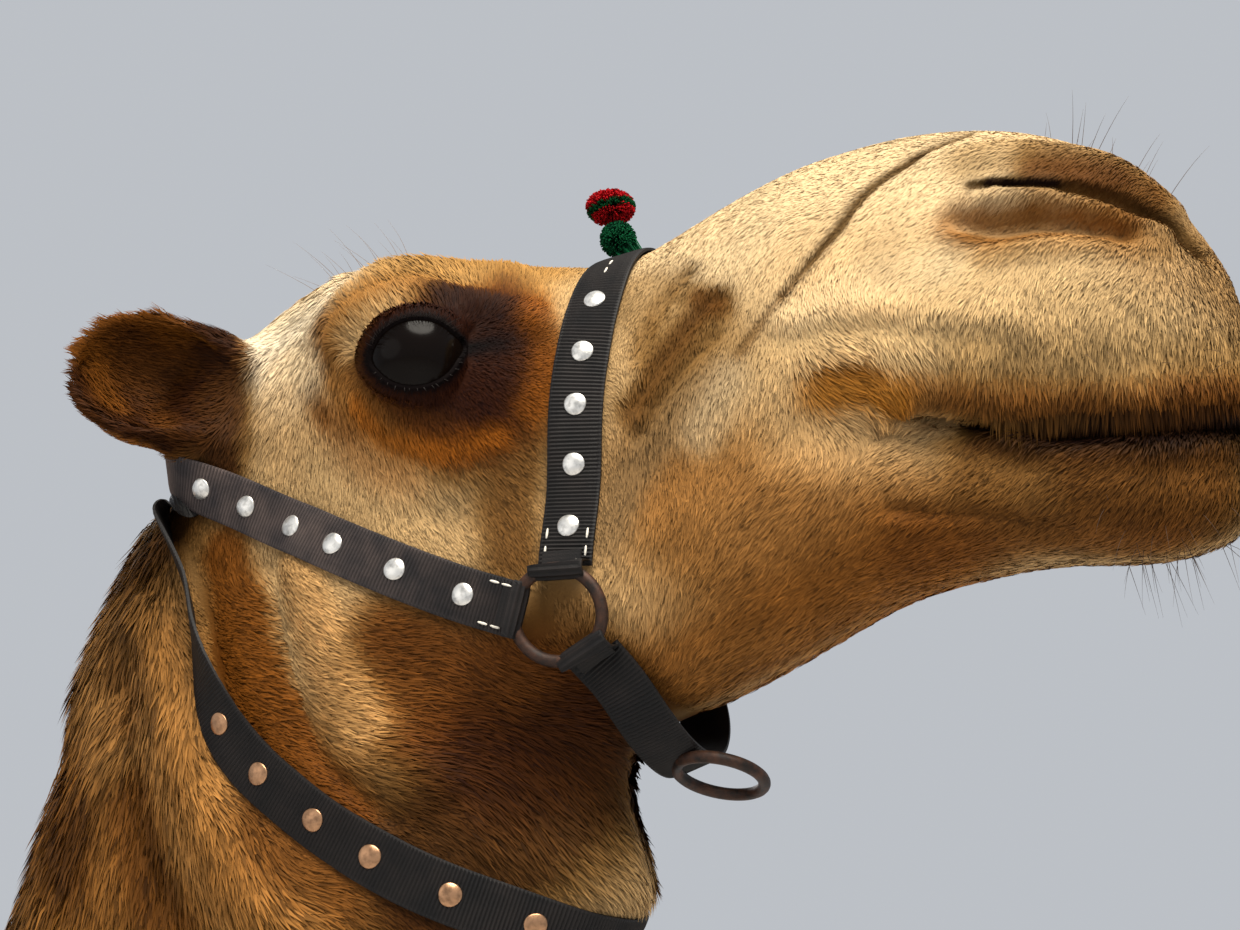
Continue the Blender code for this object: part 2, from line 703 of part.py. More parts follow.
def relieve(flesh, lows, outs):
    """Lifts a strap's underside wherever it would sink into the flesh or touch it."""
    lifts = [[0.0] * 3 for _ in lows]
    for i in range(len(lows) - 1):
        for column in (0, 1):
            corners = [(i, column), (i, column + 1), (i + 1, column), (i + 1, column + 1)]
            for u in np.linspace(0, 1, 7):
                for v in np.linspace(0, 1, 5):
                    weights = ((1 - u) * (1 - v), (1 - u) * v, u * (1 - v), u * v)
                    place = sum((lows[r][c] * w for (r, c), w in zip(corners, weights)), Vector())
                    _, near, normal, _ = flesh.closest_point_on_mesh(place)
                    short = STRAP_GAP - (place - near).dot(normal)
                    for r, c in corners:
                        lifts[r][c] = max(lifts[r][c], short)
    for row, out, lift in zip(lows, outs, lifts):
        for c in range(3):
            row[c] += out * lift[c]


def ring_on(flesh, name, place):
    """A wire ring lying flat on the flesh, high enough for webbing to pass under its wire."""
    _, on_flesh, out, _ = flesh.closest_point_on_mesh(place)
    for _ in range(2):
        turn = turned_to(out)
        short = 0.0
        faced = Vector()
        for angle in np.linspace(0, 2 * math.pi, 24, endpoint=False):
            spoke = turn @ Vector((math.cos(angle), math.sin(angle), 0)) * CHEEK_RING_RADIUS
            _, near, normal, _ = flesh.closest_point_on_mesh(on_flesh + spoke)
            short = max(short, LOOP_RADIUS + 3 * GAP - (on_flesh + spoke - near).dot(normal))
            faced += normal
        out = faced.normalized()
    out = turn.col[2].xyz
    centre = on_flesh + out * short
    return torus(name, centre, turn, CHEEK_RING_RADIUS, RING_WIRE_RADIUS), centre, out


def turned_to(axis):
    """A turn that takes +Z to the axis."""
    return Vector((0, 0, 1)).rotation_difference(axis).to_matrix().to_4x4()


def add_loop(strap, ring_centre, ring_axis, toward):
    """Thickens a strap's end into the loop that holds a ring's wire, on the side given by toward."""
    spoke = (toward - ring_axis * toward.dot(ring_axis)).normalized()
    wire = ring_centre + spoke * CHEEK_RING_RADIUS
    bm = bmesh.new()
    place = Matrix.Translation(wire) @ turned_to(ring_axis.cross(spoke))
    bmesh.ops.create_cone(
        bm,
        cap_ends=True,
        segments=6,
        radius1=LOOP_RADIUS,
        radius2=LOOP_RADIUS,
        depth=LOOP_LENGTH,
        matrix=place,
    )
    loop = mesh_object("loop", bm)
    combine(strap, loop, "UNION")
    discard(loop)


def build_halter(flesh):
    """Straps, cheek rings, chin ring and pompom, each clear of the flesh and of one another."""
    routes = {}
    for name, line in STRAP_LINES.items():
        left, right = side_route(flesh, line, 1), side_route(flesh, line, -1)
        over_the_top = name in ("noseband", "crown")
        routes[name] = right[::-1] + left if over_the_top else right + left[::-1]
    straps = {}
    for name, route in routes.items():
        slack = CHIN_STRAP_SLACK if name == "chin_strap" else 0.0
        rise = 0.0 if name == "throat_strap" else STRAP_END_RISE
        straps[name] = ribbon("halter_" + name, flesh, spaced(route, STRAP_STEP), slack, rise)

    rings = []
    for side_name, side in SIDES.items():
        x, y, z = CHEEK_RING_PLACE
        ring_name = "halter_cheek_ring_" + side_name
        ring, centre, out = ring_on(flesh, ring_name, head_place(x, side * y, z))
        for name in ("noseband", "crown", "chin_strap"):
            first, last = routes[name][0], routes[name][-1]
            end = last if last.y * side > 0 else first
            add_loop(straps[name], centre, out, end - centre)
        rings.append(ring)

    under = routes["chin_strap"]
    middle = len(under) // 2
    _, lowest, out, _ = flesh.closest_point_on_mesh((under[middle] + under[middle - 1]) / 2)
    tilt = Matrix.Rotation(CHIN_RING_TILT, 4, "Y") @ Matrix.Rotation(-CHIN_RING_ROLL, 4, "X")
    ahead = tilt @ Vector((CHIN_RING_RADIUS - LOOP_RADIUS, 0, 0))
    centre = lowest + out * (CHIN_STRAP_SLACK + WEBBING_THICKNESS) + ahead
    rings.append(torus("halter_chin_ring", centre, tilt, CHIN_RING_RADIUS, RING_WIRE_RADIUS))
    add_loop(straps["chin_strap"], centre, tilt @ Vector((0, 0, 1)), tilt @ Vector((-1, 0, 0)))

    for strap in straps.values():
        for ring in rings:
            clear(strap, ring)
    clear(straps["throat_strap"], straps["crown"])
    keep_largest(straps["throat_strap"])

    out = HEAD.col[2].xyz
    above = head_place(POMPOM_FORWARD, 0, POMPOM_LOOKED_FOR_AT)
    _, place, _, _ = straps["noseband"].ray_cast(above, -out)
    yarn = []
    for colour, radius in POMPOM_RADII.items():
        place = place + out * (radius + 2 * GAP)
        yarn.append(ball("halter_pompom_" + colour, place, [radius] * 3, segments=8, rings=6))
        place = place + out * radius
    return list(straps.values()) + rings + yarn


# ---------------------------------------------------------------- colours and the finished object
# Red, green, blue, roughness and metallic value of each finish, and the node names that begin so.
FINISHES = {
    "sandy_coat": ((0.420, 0.270, 0.150), 0.90, 0.0),
    "brown_coat": ((0.210, 0.120, 0.060), 0.92, 0.0),
    "dark_coat": ((0.090, 0.050, 0.026), 0.92, 0.0),
    "eye": ((0.010, 0.007, 0.006), 0.08, 0.0),
    "horn": ((0.070, 0.050, 0.038), 0.45, 0.0),
    "webbing": ((0.014, 0.013, 0.014), 0.75, 0.0),
    "rusty_iron": ((0.080, 0.045, 0.030), 0.60, 0.7),
    "green_yarn": ((0.010, 0.110, 0.045), 0.95, 0.0),
    "red_yarn": ((0.420, 0.010, 0.012), 0.95, 0.0),
}
FINISH_OF = {
    "neck": "brown_coat",
    "ear": "brown_coat",
    "hump": "brown_coat",
    "tail_tuft": "dark_coat",
    "eye": "eye",
    "nail": "horn",
    "halter": "webbing",
    "halter_cheek_ring": "rusty_iron",
    "halter_chin_ring": "rusty_iron",
    "halter_pompom_green": "green_yarn",
    "halter_pompom_red": "red_yarn",
}


def material(name):
    colour, roughness, metallic = FINISHES[name]
    made = bpy.data.materials.get(name)
    if made is None:
        made = bpy.data.materials.new(name)
        made.use_nodes = True
        shader = made.node_tree.nodes["Principled BSDF"]
        shader.inputs["Base Color"].default_value = (*colour, 1)
        shader.inputs["Roughness"].default_value = roughness
        shader.inputs["Metallic"].default_value = metallic
    return made


def finish_of(node_name):
    """The finish of the longest listed name that this node's name begins with."""
    matches = [start for start in FINISH_OF if node_name.startswith(start)]
    return FINISH_OF[max(matches, key=len)] if matches else "sandy_coat"


def main():
    for obj in list(bpy.data.objects):
        bpy.data.objects.remove(obj)
    fore_body = build_fore_body()
    whole_fore = copy(fore_body, "whole_fore")
    parts = part_rear_body(build_rear_body()) + part_fore_body(fore_body)
    nodes = {obj.name: obj for obj in parts}
    eyes = build_eyes(nodes["head"])
    ears = [build_ear(side_name, side, whole_fore) for side_name, side in SIDES.items()]
    halter = build_halter(whole_fore)
    crown = next(piece for piece in halter if piece.name == "halter_crown")
    for ear in ears:
        clear(ear, crown)
        keep_largest(ear)
    added = eyes + ears + build_tail(nodes["trunk"]) + build_nails(nodes) + halter
    discard(whole_fore)
    nodes.update({obj.name: obj for obj in added})

    corners = np.array([tuple(v.co) for obj in nodes.values() for v in obj.data.vertices])
    low, high = corners.min(axis=0), corners.max(axis=0)
    to_origin = Vector((-(low[0] + high[0]) / 2, -(low[1] + high[1]) / 2, -low[2]))
    collection = bpy.data.collections.new("dromedary_camel")
    bpy.context.scene.collection.children.link(collection)
    for name, obj in nodes.items():
        obj.location = to_origin
        obj.data.materials.clear()
        obj.data.materials.append(material(finish_of(name)))
        for user in list(obj.users_collection):
            user.objects.unlink(obj)
        collection.objects.link(obj)


main()
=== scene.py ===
"""A grown dromedary camel standing still in its short desert coat, with a riveted webbing halter on."""
import math

import bmesh
import bpy
import numpy as np
from mathutils import Matrix, Vector
from mathutils.bvhtree import BVHTree


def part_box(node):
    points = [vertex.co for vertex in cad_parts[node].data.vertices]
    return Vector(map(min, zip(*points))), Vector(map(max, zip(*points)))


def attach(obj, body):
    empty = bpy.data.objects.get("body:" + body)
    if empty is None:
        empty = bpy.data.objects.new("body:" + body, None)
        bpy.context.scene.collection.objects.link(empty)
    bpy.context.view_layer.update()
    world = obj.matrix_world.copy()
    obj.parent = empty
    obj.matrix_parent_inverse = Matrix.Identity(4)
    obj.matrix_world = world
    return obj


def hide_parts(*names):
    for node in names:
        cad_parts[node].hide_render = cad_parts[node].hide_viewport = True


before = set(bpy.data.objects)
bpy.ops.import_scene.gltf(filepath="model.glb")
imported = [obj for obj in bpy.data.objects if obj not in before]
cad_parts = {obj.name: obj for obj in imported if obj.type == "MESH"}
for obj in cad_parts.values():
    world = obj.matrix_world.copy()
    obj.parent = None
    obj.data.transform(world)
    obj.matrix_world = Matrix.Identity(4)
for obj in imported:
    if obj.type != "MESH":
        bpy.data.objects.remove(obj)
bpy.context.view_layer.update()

bpy.ops.object.select_all(action="DESELECT")
bpy.context.scene.view_settings.view_transform = "Standard"


# ================================================================ skin
# One hide over head, ears, neck, trunk, hump, legs and tail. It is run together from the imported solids
# of the flesh, finely on the head and upper neck and more coarsely below, and a strip of faces joins the
# two under the throat strap.
FLESH_FINE = ("head", "eye_left", "eye_right", "ear_left", "ear_right", "neck_upper")
LIMBS = [f"{pair}leg_{side}_{length}" for pair in ("fore", "hind") for side in ("left", "right")
         for length in ("upper", "lower", "foot")]
FLESH_COARSE = ("neck_upper", "neck_middle", "neck_base", "trunk", "hump", "tail", "tail_tuft", *LIMBS)
MERGE = 0.00002                  # corners nearer than this are one
OVERLAP = 0.0006                 # grows each solid so that neighbours run together
FINE_GRAIN = 0.0044
COARSE_GRAIN = 0.0145
EYE_IN_HEAD = Vector((0.1985, 0.0760, 0.1120))
HEAD_PITCH = math.radians(12)    # the nose is carried this much above level
EAR_RISE = np.array([-0.20, 0.90, 0.38])
EAR_FOOT = 88                    # millimetres out along the ear's rise to where it leaves the head
HEAD_PASSES, EAR_PASSES, BODY_PASSES = 36, 14, 5

eye_ball = {}
for side_name in ("left", "right"):
    low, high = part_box("eye_" + side_name)
    eye_ball[side_name] = (low + high) / 2
EYE_RADIUS = (high.x - low.x) / 2
head_turn = Matrix.Rotation(-HEAD_PITCH, 3, "Y")
eyes_middle = (eye_ball["left"] + eye_ball["right"]) / 2
POLL = eyes_middle - head_turn @ Vector((EYE_IN_HEAD.x, 0, EYE_IN_HEAD.z))
TURN = np.array(head_turn)
ORIGIN = np.array(POLL)


def in_head(points):
    """Millimetres forward, left and up from the poll, square to the head, of points in metres."""
    return (np.asarray(points) - ORIGIN) @ TURN * 1000


def mirrored(points):
    """The same points with their distance from the middle in place of left and right."""
    return points * [1, 0, 1] + np.abs(points) * [0, 1, 0]


def ease(low, high, value):
    """0 below low, 1 above high, and smooth between."""
    t = np.clip((value - low) / (high - low), 0, 1)
    return t * t * (3 - 2 * t)


def points_of(mesh):
    flat = np.empty(len(mesh.vertices) * 3)
    mesh.vertices.foreach_get("co", flat)
    return flat.reshape(-1, 3)


def edges_of(mesh):
    flat = np.empty(len(mesh.edges) * 2, np.int64)
    mesh.edges.foreach_get("vertices", flat)
    return flat.reshape(-1, 2)


def set_points(mesh, points):
    mesh.vertices.foreach_set("co", np.asarray(points, float).ravel())
    mesh.update()


def new_object(name, mesh):
    obj = bpy.data.objects.new(name, mesh)
    bpy.context.scene.collection.objects.link(obj)
    return obj


def run_together(name, nodes, grain):
    """One closed surface over the given solids, in even squares of this size."""
    joined = bmesh.new()
    for node in nodes:
        part = bmesh.new()
        part.from_mesh(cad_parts[node].data)
        bmesh.ops.remove_doubles(part, verts=part.verts, dist=MERGE)
        part.normal_update()
        for vert in part.verts:
            vert.co += vert.normal * OVERLAP
        mesh = bpy.data.meshes.new(node)
        part.to_mesh(mesh)
        part.free()
        joined.from_mesh(mesh)
        bpy.data.meshes.remove(mesh)
    mesh = bpy.data.meshes.new(name)
    joined.to_mesh(mesh)
    joined.free()
    obj = new_object(name, mesh)
    remesh = obj.modifiers.new("Even squares", "REMESH")
    remesh.mode = "VOXEL"
    remesh.voxel_size = grain
    bpy.context.view_layer.objects.active = obj
    bpy.ops.object.modifier_apply(modifier=remesh.name)
    return obj


def relax(points, edges, passes, share):
    """Evens out the surface. Share is how much of each pass a point takes, from 0 to 1."""
    count = len(points)
    ends = np.bincount(edges.ravel(), minlength=count)[:, None]
    for _ in range(passes):
        near = [
            np.bincount(edges[:, 0], points[edges[:, 1], k], count)
            + np.bincount(edges[:, 1], points[edges[:, 0], k], count)
            for k in range(3)
        ]
        points = points + 0.5 * share * (np.stack(near, 1) / ends - points)
    return points


def ear_share(half):
    """How far points of the right half of the head belong to its ear, from 0 to 1."""
    return ease(2, 10, half @ EAR_RISE - EAR_FOOT) * ease(125, 105, half[:, 0])


fine = run_together("fine", FLESH_FINE, FINE_GRAIN)
points = points_of(fine.data)
ear = ear_share(mirrored(in_head(points)))[:, None]
edges = edges_of(fine.data)
points = relax(points, edges, HEAD_PASSES, 1 - ear)
for _ in range(EAR_PASSES):
    # Pushed back after each pass, so that the thin ears don't shrink.
    points = relax(points, edges, 1, ear)
    points = relax(points, edges, 1, -1.04 * ear)
set_points(fine.data, points)
coarse = run_together("coarse", FLESH_COARSE, COARSE_GRAIN)
points = relax(points_of(coarse.data), edges_of(coarse.data), BODY_PASSES, 1.0)
set_points(coarse.data, points)

# The neck is cut across low on its upper length, and the two skins meet there.
NECK_CUT = Vector((0.735, 0, 1.735))
NECK_RUN = Vector((0.40, 0, 0.92)).normalized()
SEAM_GAP = 0.008


def trimmed(obj, point, keep):
    """Cuts a skin across at a point and keeps the side that the arrow points to."""
    bm = bmesh.new()
    bm.from_mesh(obj.data)
    bmesh.ops.bisect_plane(
        bm, geom=bm.verts[:] + bm.edges[:] + bm.faces[:], dist=1e-6,
        plane_co=point, plane_no=keep, clear_inner=True
    )
    bm.to_mesh(obj.data)
    bm.free()


trimmed(fine, NECK_CUT + NECK_RUN * SEAM_GAP, NECK_RUN)
trimmed(coarse, NECK_CUT, -NECK_RUN)
bm = bmesh.new()
bm.from_mesh(fine.data)
bm.from_mesh(coarse.data)
rims = [edge for edge in bm.edges if edge.is_boundary]
bmesh.ops.bridge_loops(bm, edges=rims)
mesh = bpy.data.meshes.new("camel_skin")
bm.to_mesh(mesh)
bm.free()
skin = new_object("camel_skin", mesh)
for scrap in (fine, coarse):
    bpy.data.objects.remove(scrap)


# ================================================================ lids, nostrils, lips and folds
# The hide folds round the eyes, nostrils and mouth, hangs in wrinkles on cheek and throat, and is cleft
# between the toes. Each fold is a line on the right half of the head, mirrored to the left, in
# millimetres from the poll, and is pressed into the skin or raised from it.
NOSTRIL = [(457, 47, 114), (473, 48, 108), (496, 47, 97), (512, 43, 87), (524, 36, 77),
           (533, 30, 68), (538, 24, 58)]
NOSTRIL_WING = [(468, 38, 127), (485, 35, 123), (505, 35, 111), (520, 31, 96), (532, 24, 80)]
NOSTRIL_ROLL = [(466, 51, 104), (482, 51, 98), (499, 48, 88), (514, 43, 78), (526, 35, 68)]
NOSTRIL_HOLLOW = [(450, 51, 98), (464, 53, 89), (481, 52, 85), (498, 49, 78), (512, 44, 71)]
NOSTRIL_FOLD = [(458, 55, 77), (476, 54, 74), (495, 51, 70), (510, 46, 65), (524, 39, 62)]
NOSE_CREASE = [(462, 20, 150), (459, 26, 147), (441, 35, 140), (424, 41, 134), (410, 45, 126), (399, 48, 115),
               (382, 51, 103), (367, 53, 92), (343, 54, 72)]
MUZZLE_RIDGE = [(363, 54, 80), (380, 55, 78), (400, 56, 73), (425, 57, 62), (452, 57, 49), (469, 57, 38)]
BELOW_RIDGE = [(x, y, z - 9) for x, y, z in MUZZLE_RIDGE]
CHEEK_BAND = [(333, 55, 65), (318, 57, 58), (295, 58, 44), (280, 59, 30), (269, 64, 8)]
MOUTH = [(389, 49, 36), (402, 40, 28), (416, 34, 22), (438, 32, 11), (466, 38, -2), (494, 37, -8),
         (515, 31, -12), (531, 20, -14), (540, 8, -15), (541, 0, -15)]
UPPER_LIP = [(415, 48, 32), (440, 47, 22), (468, 49, 9), (495, 46, 3), (517, 38, -1),
             (534, 24, -3), (544, 8, -4)]
LOWER_LIP = [(420, 44, 10), (442, 43, 0), (468, 44, -13), (494, 41, -19), (513, 33, -23), (528, 21, -26)]
LIP_CLEFT = [(550, 0, 42), (550, 0, 20), (545, 0, -6)]
LIP_FOLDS = [(392, 49, -15), (410, 46, -22), (435, 42, -32), (456, 32, -43)]
BROW = [(163, 84, 134), (191, 88, 138), (206, 84, 141), (222, 77, 138), (239, 64, 131), (256, 60, 114)]
BEHIND_EYE = [(114, 60, 152), (108, 66, 140), (102, 68, 120), (101, 70, 96)]
CHEEK_EDGE = [(98, 70, 44), (103, 75, 2), (117, 78, -52), (146, 72, -90)]
CHEEK_BULGE = [(116, 72, 38), (124, 77, 0), (138, 78, -46), (164, 72, -78)]
NECK_RIDGE = [(24, 64, 40), (40, 74, 0), (54, 83, -50), (72, 84, -100), (98, 82, -132), (140, 76, -190)]
NECK_HOLLOW = [(0, 70, 10), (12, 78, -40), (26, 82, -90), (50, 84, -140), (90, 82, -200)]
THROAT_HOLLOW = [(60, 72, 20), (70, 78, -20), (88, 80, -62), (118, 78, -100)]
TEAR_CORNER = [(220, 86, 105), (228, 79, 100), (236, 72, 96)]
STRAP_FOLDS = [
    [(298, 57, 86), (312, 51, 109), (327, 43, 123)],
    [(290, 59, 62), (311, 56, 82), (330, 51, 99), (339, 49, 103)],
    [(291, 58, 49), (315, 56, 71), (334, 54, 85)],
]
LIP_CORNER = [(400, 38, 30), (420, 31, 20), (446, 32, 8)]
TEMPLE_BONE = [(92, 42, 164), (122, 44, 178), (150, 46, 180)]
BROW_BONE = [(188, 58, 166), (214, 54, 164), (236, 46, 154)]
NOSTRIL_HOOD = [(446, 37, 133), (458, 38, 130)]
JAW_CORNER = [(236, 0, -84), (226, 0, -112), (212, 0, -136)]
# Each fold: its line, how wide it spreads, and how high it stands (or deep, if below zero), in mm.
FOLDS = [
    (LIP_CORNER, 15.0, 8.0), (TEMPLE_BONE, 20.0, 11.0), (NOSTRIL_WING, 8.0, 4.5), (NOSTRIL_HOOD, 9.0, 2.0),
    (NOSTRIL_ROLL, 4.5, 4.0), (NOSTRIL_HOLLOW, 6.5, -8.0), (NOSTRIL_FOLD, 5.0, 2.0),
    (NOSE_CREASE[:8], 2.1, -2.2), (NOSE_CREASE[7:], 2.1, -0.8), (MUZZLE_RIDGE, 6.0, 1.4),
    (BELOW_RIDGE[:5], 5.0, -1.0), (MOUTH[:3], 4.0, -3.0), (MOUTH[2:], 4.2, -9.0), (UPPER_LIP, 7.0, 4.5),
    (LOWER_LIP, 6.0, 2.0), (LIP_CLEFT, 4.0, -5.0), (LIP_FOLDS, 3.5, -3.0), (BROW, 8.0, 4.0),
    (BEHIND_EYE, 2.4, -1.6), (BROW_BONE, 14.0, 6.0), *((line, 3.2, -3.4) for line in STRAP_FOLDS),
    (CHEEK_EDGE, 6.0, -4.0), (CHEEK_BULGE, 9.0, 2.5), (NECK_RIDGE, 11.0, 5.0), (NECK_HOLLOW, 13.0, -5.0),
    (THROAT_HOLLOW, 10.0, -2.0), (NOSTRIL[:2], 1.5, -3.5), (NOSTRIL[1:3], 2.4, -6.0),
    (NOSTRIL[2:], 3.2, -15.0),
]


def in_world(points):
    """Points in the head's millimetres, in metres."""
    return np.asarray(points, float) / 1000 @ TURN.T + ORIGIN


def unit(vectors):
    return vectors / np.maximum(np.linalg.norm(vectors, axis=-1, keepdims=True), 1e-12)


def normals_of(mesh):
    flat = np.empty(len(mesh.vertices) * 3)
    mesh.vertices.foreach_get("normal", flat)
    return flat.reshape(-1, 3)


def to_line(points, line):
    """Distance of each point from a line of corners."""
    nearest = np.full(len(points), 1e9)
    line = np.asarray(line, float)
    for a, b in zip(line, line[1:]):
        along = np.clip((points - a) @ (b - a) / ((b - a) @ (b - a)), 0, 1)
        nearest = np.minimum(nearest, np.linalg.norm(points - a - along[:, None] * (b - a), axis=1))
    return nearest


# The lids: opening measured as angles about the eyeball's centre, square to the line of sight.
SIGHT = unit(np.array([0.444, 0.854, -0.271]))
FORWARD = unit(np.array([0.8875, -0.4608, 0.0]))
UPWARD = np.cross(SIGHT, FORWARD) * -1
EYE = np.array(EYE_IN_HEAD) * 1000
BALL = EYE_RADIUS * 1000
OPEN_WIDE, OPEN_UP, OPEN_DOWN = (math.radians(a) for a in (54.0, 38.0, 41.0))
FRONT_CORNER, BACK_CORNER = 0.24, 0.10      # how far the lids' corners are drawn out
LID_THICKNESS = 1.5


def round_eye(place):
    """Where each point lies from the lids' opening: how far out (1 is the rim), its turn round it, how far
    from the eyeball's centre, and the rim's angle there."""
    out = place - EYE
    far = np.linalg.norm(out, axis=1)
    out = out / far[:, None]
    away = np.arccos(np.clip(out @ SIGHT, -1, 1))
    across, up = out @ FORWARD, out @ UPWARD
    turn = np.arctan2(up, across)
    tall = np.where(up > 0, OPEN_UP, OPEN_DOWN)
    rim = 1 / np.sqrt((np.cos(turn) / OPEN_WIDE) ** 2 + (np.sin(turn) / tall) ** 2)
    rim *= 1 + FRONT_CORNER * np.exp(-((turn / 0.22) ** 2)) + BACK_CORNER * np.exp(
        -(((np.pi - np.abs(turn)) / 0.25) ** 2))
    return away / rim, turn, far, rim


def refine(bm, wanted):
    """Splits in half the edges between corners that are wanted."""
    bm.verts.ensure_lookup_table()
    place = mirrored(in_head(np.array([v.co for v in bm.verts])))
    near = wanted(place)
    bm.verts.index_update()
    edges = [e for e in bm.edges if near[e.verts[0].index] and near[e.verts[1].index]]
    bmesh.ops.subdivide_edges(bm, edges=edges, cuts=1, use_grid_fill=True)


def by_features(place, spread):
    """Whether points lie this near to the fine folds of the face."""
    near = to_line(place, NOSTRIL) < 5 + spread
    near |= to_line(place, MOUTH) < 6 + spread
    near |= to_line(place, NOSE_CREASE) < 3 + spread
    opening, _, far, _ = round_eye(place)
    near |= (far < 42) & (opening < 1.5 + 0.05 * spread) & (opening > 0.75 - 0.05 * spread)
    return near


feet = [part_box(name) for name in LIMBS if name.endswith("foot")]
# The cleft of a foot, and how far its sole comes down past the coat, in metres
CLEFT_TOP, CLEFT_HALF_WIDTH, CLEFT_DEPTH = 0.085, 0.0065, 0.011
SOLE_DROP = 0.0066
GROUND_GAP = 0.0004


def in_cleft(points, wide):
    """How far points lie in the clefts between the two toes of each foot, from 0 to 1."""
    share = np.zeros(len(points))
    for low, high in feet:
        middle = (low + high) / 2
        across = np.exp(-(((points[:, 1] - middle.y) / wide) ** 2))
        forward = ease(high.x - 0.115, high.x - 0.06, points[:, 0]) * (points[:, 0] < high.x + 0.03)
        beside = np.abs(points[:, 1] - middle.y) < 0.08
        share = np.maximum(share, across * forward * beside * ease(CLEFT_TOP, CLEFT_TOP - 0.03, points[:, 2]))
    return share


bm = bmesh.new()
bm.from_mesh(skin.data)
for reach in (0.020, 0.013):
    refine(bm, lambda place: sum(in_cleft(in_world(place * [1, side, 1]), reach) for side in (1, -1)) > 0.3)
refine(bm, lambda place: by_features(place, 6))
refine(bm, lambda place: by_features(place, 0))
bm.to_mesh(skin.data)
bm.free()
skin.data.update()

points = points_of(skin.data)
place = in_head(points)
half = mirrored(place)
normals = normals_of(skin.data)
edges = edges_of(skin.data)
opening, turn, far, rim = round_eye(half)
by_eye = (1 - ease(1.2, 2.0, opening)) * ease(52, 40, far)
# Depth of the coat in millimetres: shortest on muzzle and lids, longest on neck and hump.
depth = 2.0 + 1.5 * ease(330, 200, place[:, 0])
depth += 4.0 * ease(60, -40, place[:, 0]) * ease(-20, 60, -place[:, 2] + 40)
depth = depth * (1 - by_eye) * (1 - 0.75 * ear_share(half))
place = place - normals @ TURN * depth[:, None]
half = mirrored(place)
surface = BVHTree.FromPolygons(in_world(place).tolist(), [list(f.vertices) for f in skin.data.polygons])


def curve_through(line, steps):
    """A smooth curve through the corners of a line, with this many points between two corners."""
    corners = [np.array(c, float) for c in line]
    corners = [2 * corners[0] - corners[1]] + corners + [2 * corners[-1] - corners[-2]]
    curve = []
    for a, b, c, d in zip(corners, corners[1:], corners[2:], corners[3:]):
        for t in np.arange(steps) / steps:
            bend = (3 * b - a - 3 * c + d) * t**3 + (2 * a - 5 * b + 4 * c - d) * t**2 + (c - a) * t
            curve.append(b + 0.5 * bend)
    return np.array(curve + [corners[-2]])


def laid_on_skin(line):
    """A smooth curve through the corners of a line, laid on the right half of the skin."""
    found = [surface.find_nearest(Vector(in_world(p * [1, -1, 1])))[0] for p in curve_through(line, 6)]
    return mirrored(in_head(np.array(found)))


lift = np.zeros(len(place))
for line, spread, height in FOLDS:
    lift += height * np.exp(-((to_line(half, laid_on_skin(line)) / spread) ** 2))
# The bony rim under the eye stands out, with a crease below it.
opening, turn, far, rim = round_eye(half)
below = ease(-0.1, -0.6, np.sin(turn)) * ease(75, 60, far)
lift += below * 2.2 * np.exp(-(((opening - 2.0) / 0.25) ** 2))
lift -= below * 2.6 * np.exp(-(((opening - 2.45) / 0.13) ** 2))
place = place + normals @ TURN * lift[:, None]
# The throat fills the corner between jaw and neck.
fill = 16 * np.exp(-((to_line(half * [1, 0, 1], JAW_CORNER) / 26) ** 2))
place[:, 0] += fill * ease(60, 30, half[:, 1])
# The cup of each ear is half filled by the hair inside it.
EAR_FACING = unit(np.array([0.62, 0.78, -0.10]))
out = normals @ TURN
out[:, 1] *= np.sign(place[:, 1])
cup = ear_share(half) * ease(-70, -50, place[:, 0]) * ease(60, 75, place[:, 2])
cup *= ease(-0.1, 0.5, out @ EAR_FACING)
place = relax(place, edges, 30, 1.6 * cup[:, None])
# Lids wrap the eyeball and run out into brow and cheek.
half = mirrored(place)
opening, turn, far, rim = round_eye(half)
lid = BALL + LID_THICKNESS + 2.2 * ease(1.0, 1.5, opening) - 0.9 * np.exp(-((opening - 1.6) / 0.14) ** 2)
wrap = (1 - ease(1.3, 1.9, opening)) * ease(48, 40, far)
side = np.where(place[:, 1] < 0, -1.0, 1.0)[:, None]
out = (half - EYE) / far[:, None]
half = EYE + out * (far * (1 - wrap) + lid * wrap)[:, None]
place = np.where(wrap[:, None] > 0, half * np.hstack([np.ones_like(side), side, np.ones_like(side)]), place)
lift = -3.0 * np.exp(-((to_line(mirrored(place), TEAR_CORNER) / 2.2) ** 2))
place = place + normals @ TURN * lift[:, None]
points = in_world(place)
toes_apart = in_cleft(points, CLEFT_HALF_WIDTH)
points = points - normals * (CLEFT_DEPTH * toes_apart)[:, None]
# The soles are bare and carry the weight, so they come down to the ground.
points[:, 2] -= SOLE_DROP * ease(0.045, 0.015, points[:, 2])
points[:, 2] = np.maximum(points[:, 2], GROUND_GAP)
set_points(skin.data, points)


def half_of(vert):
    """A corner's place on the right half of the head, and the factors that take it back to its side."""
    place = in_head(np.array([vert.co]))
    return mirrored(place), np.array([1, -1 if place[0, 1] < 0 else 1, 1])


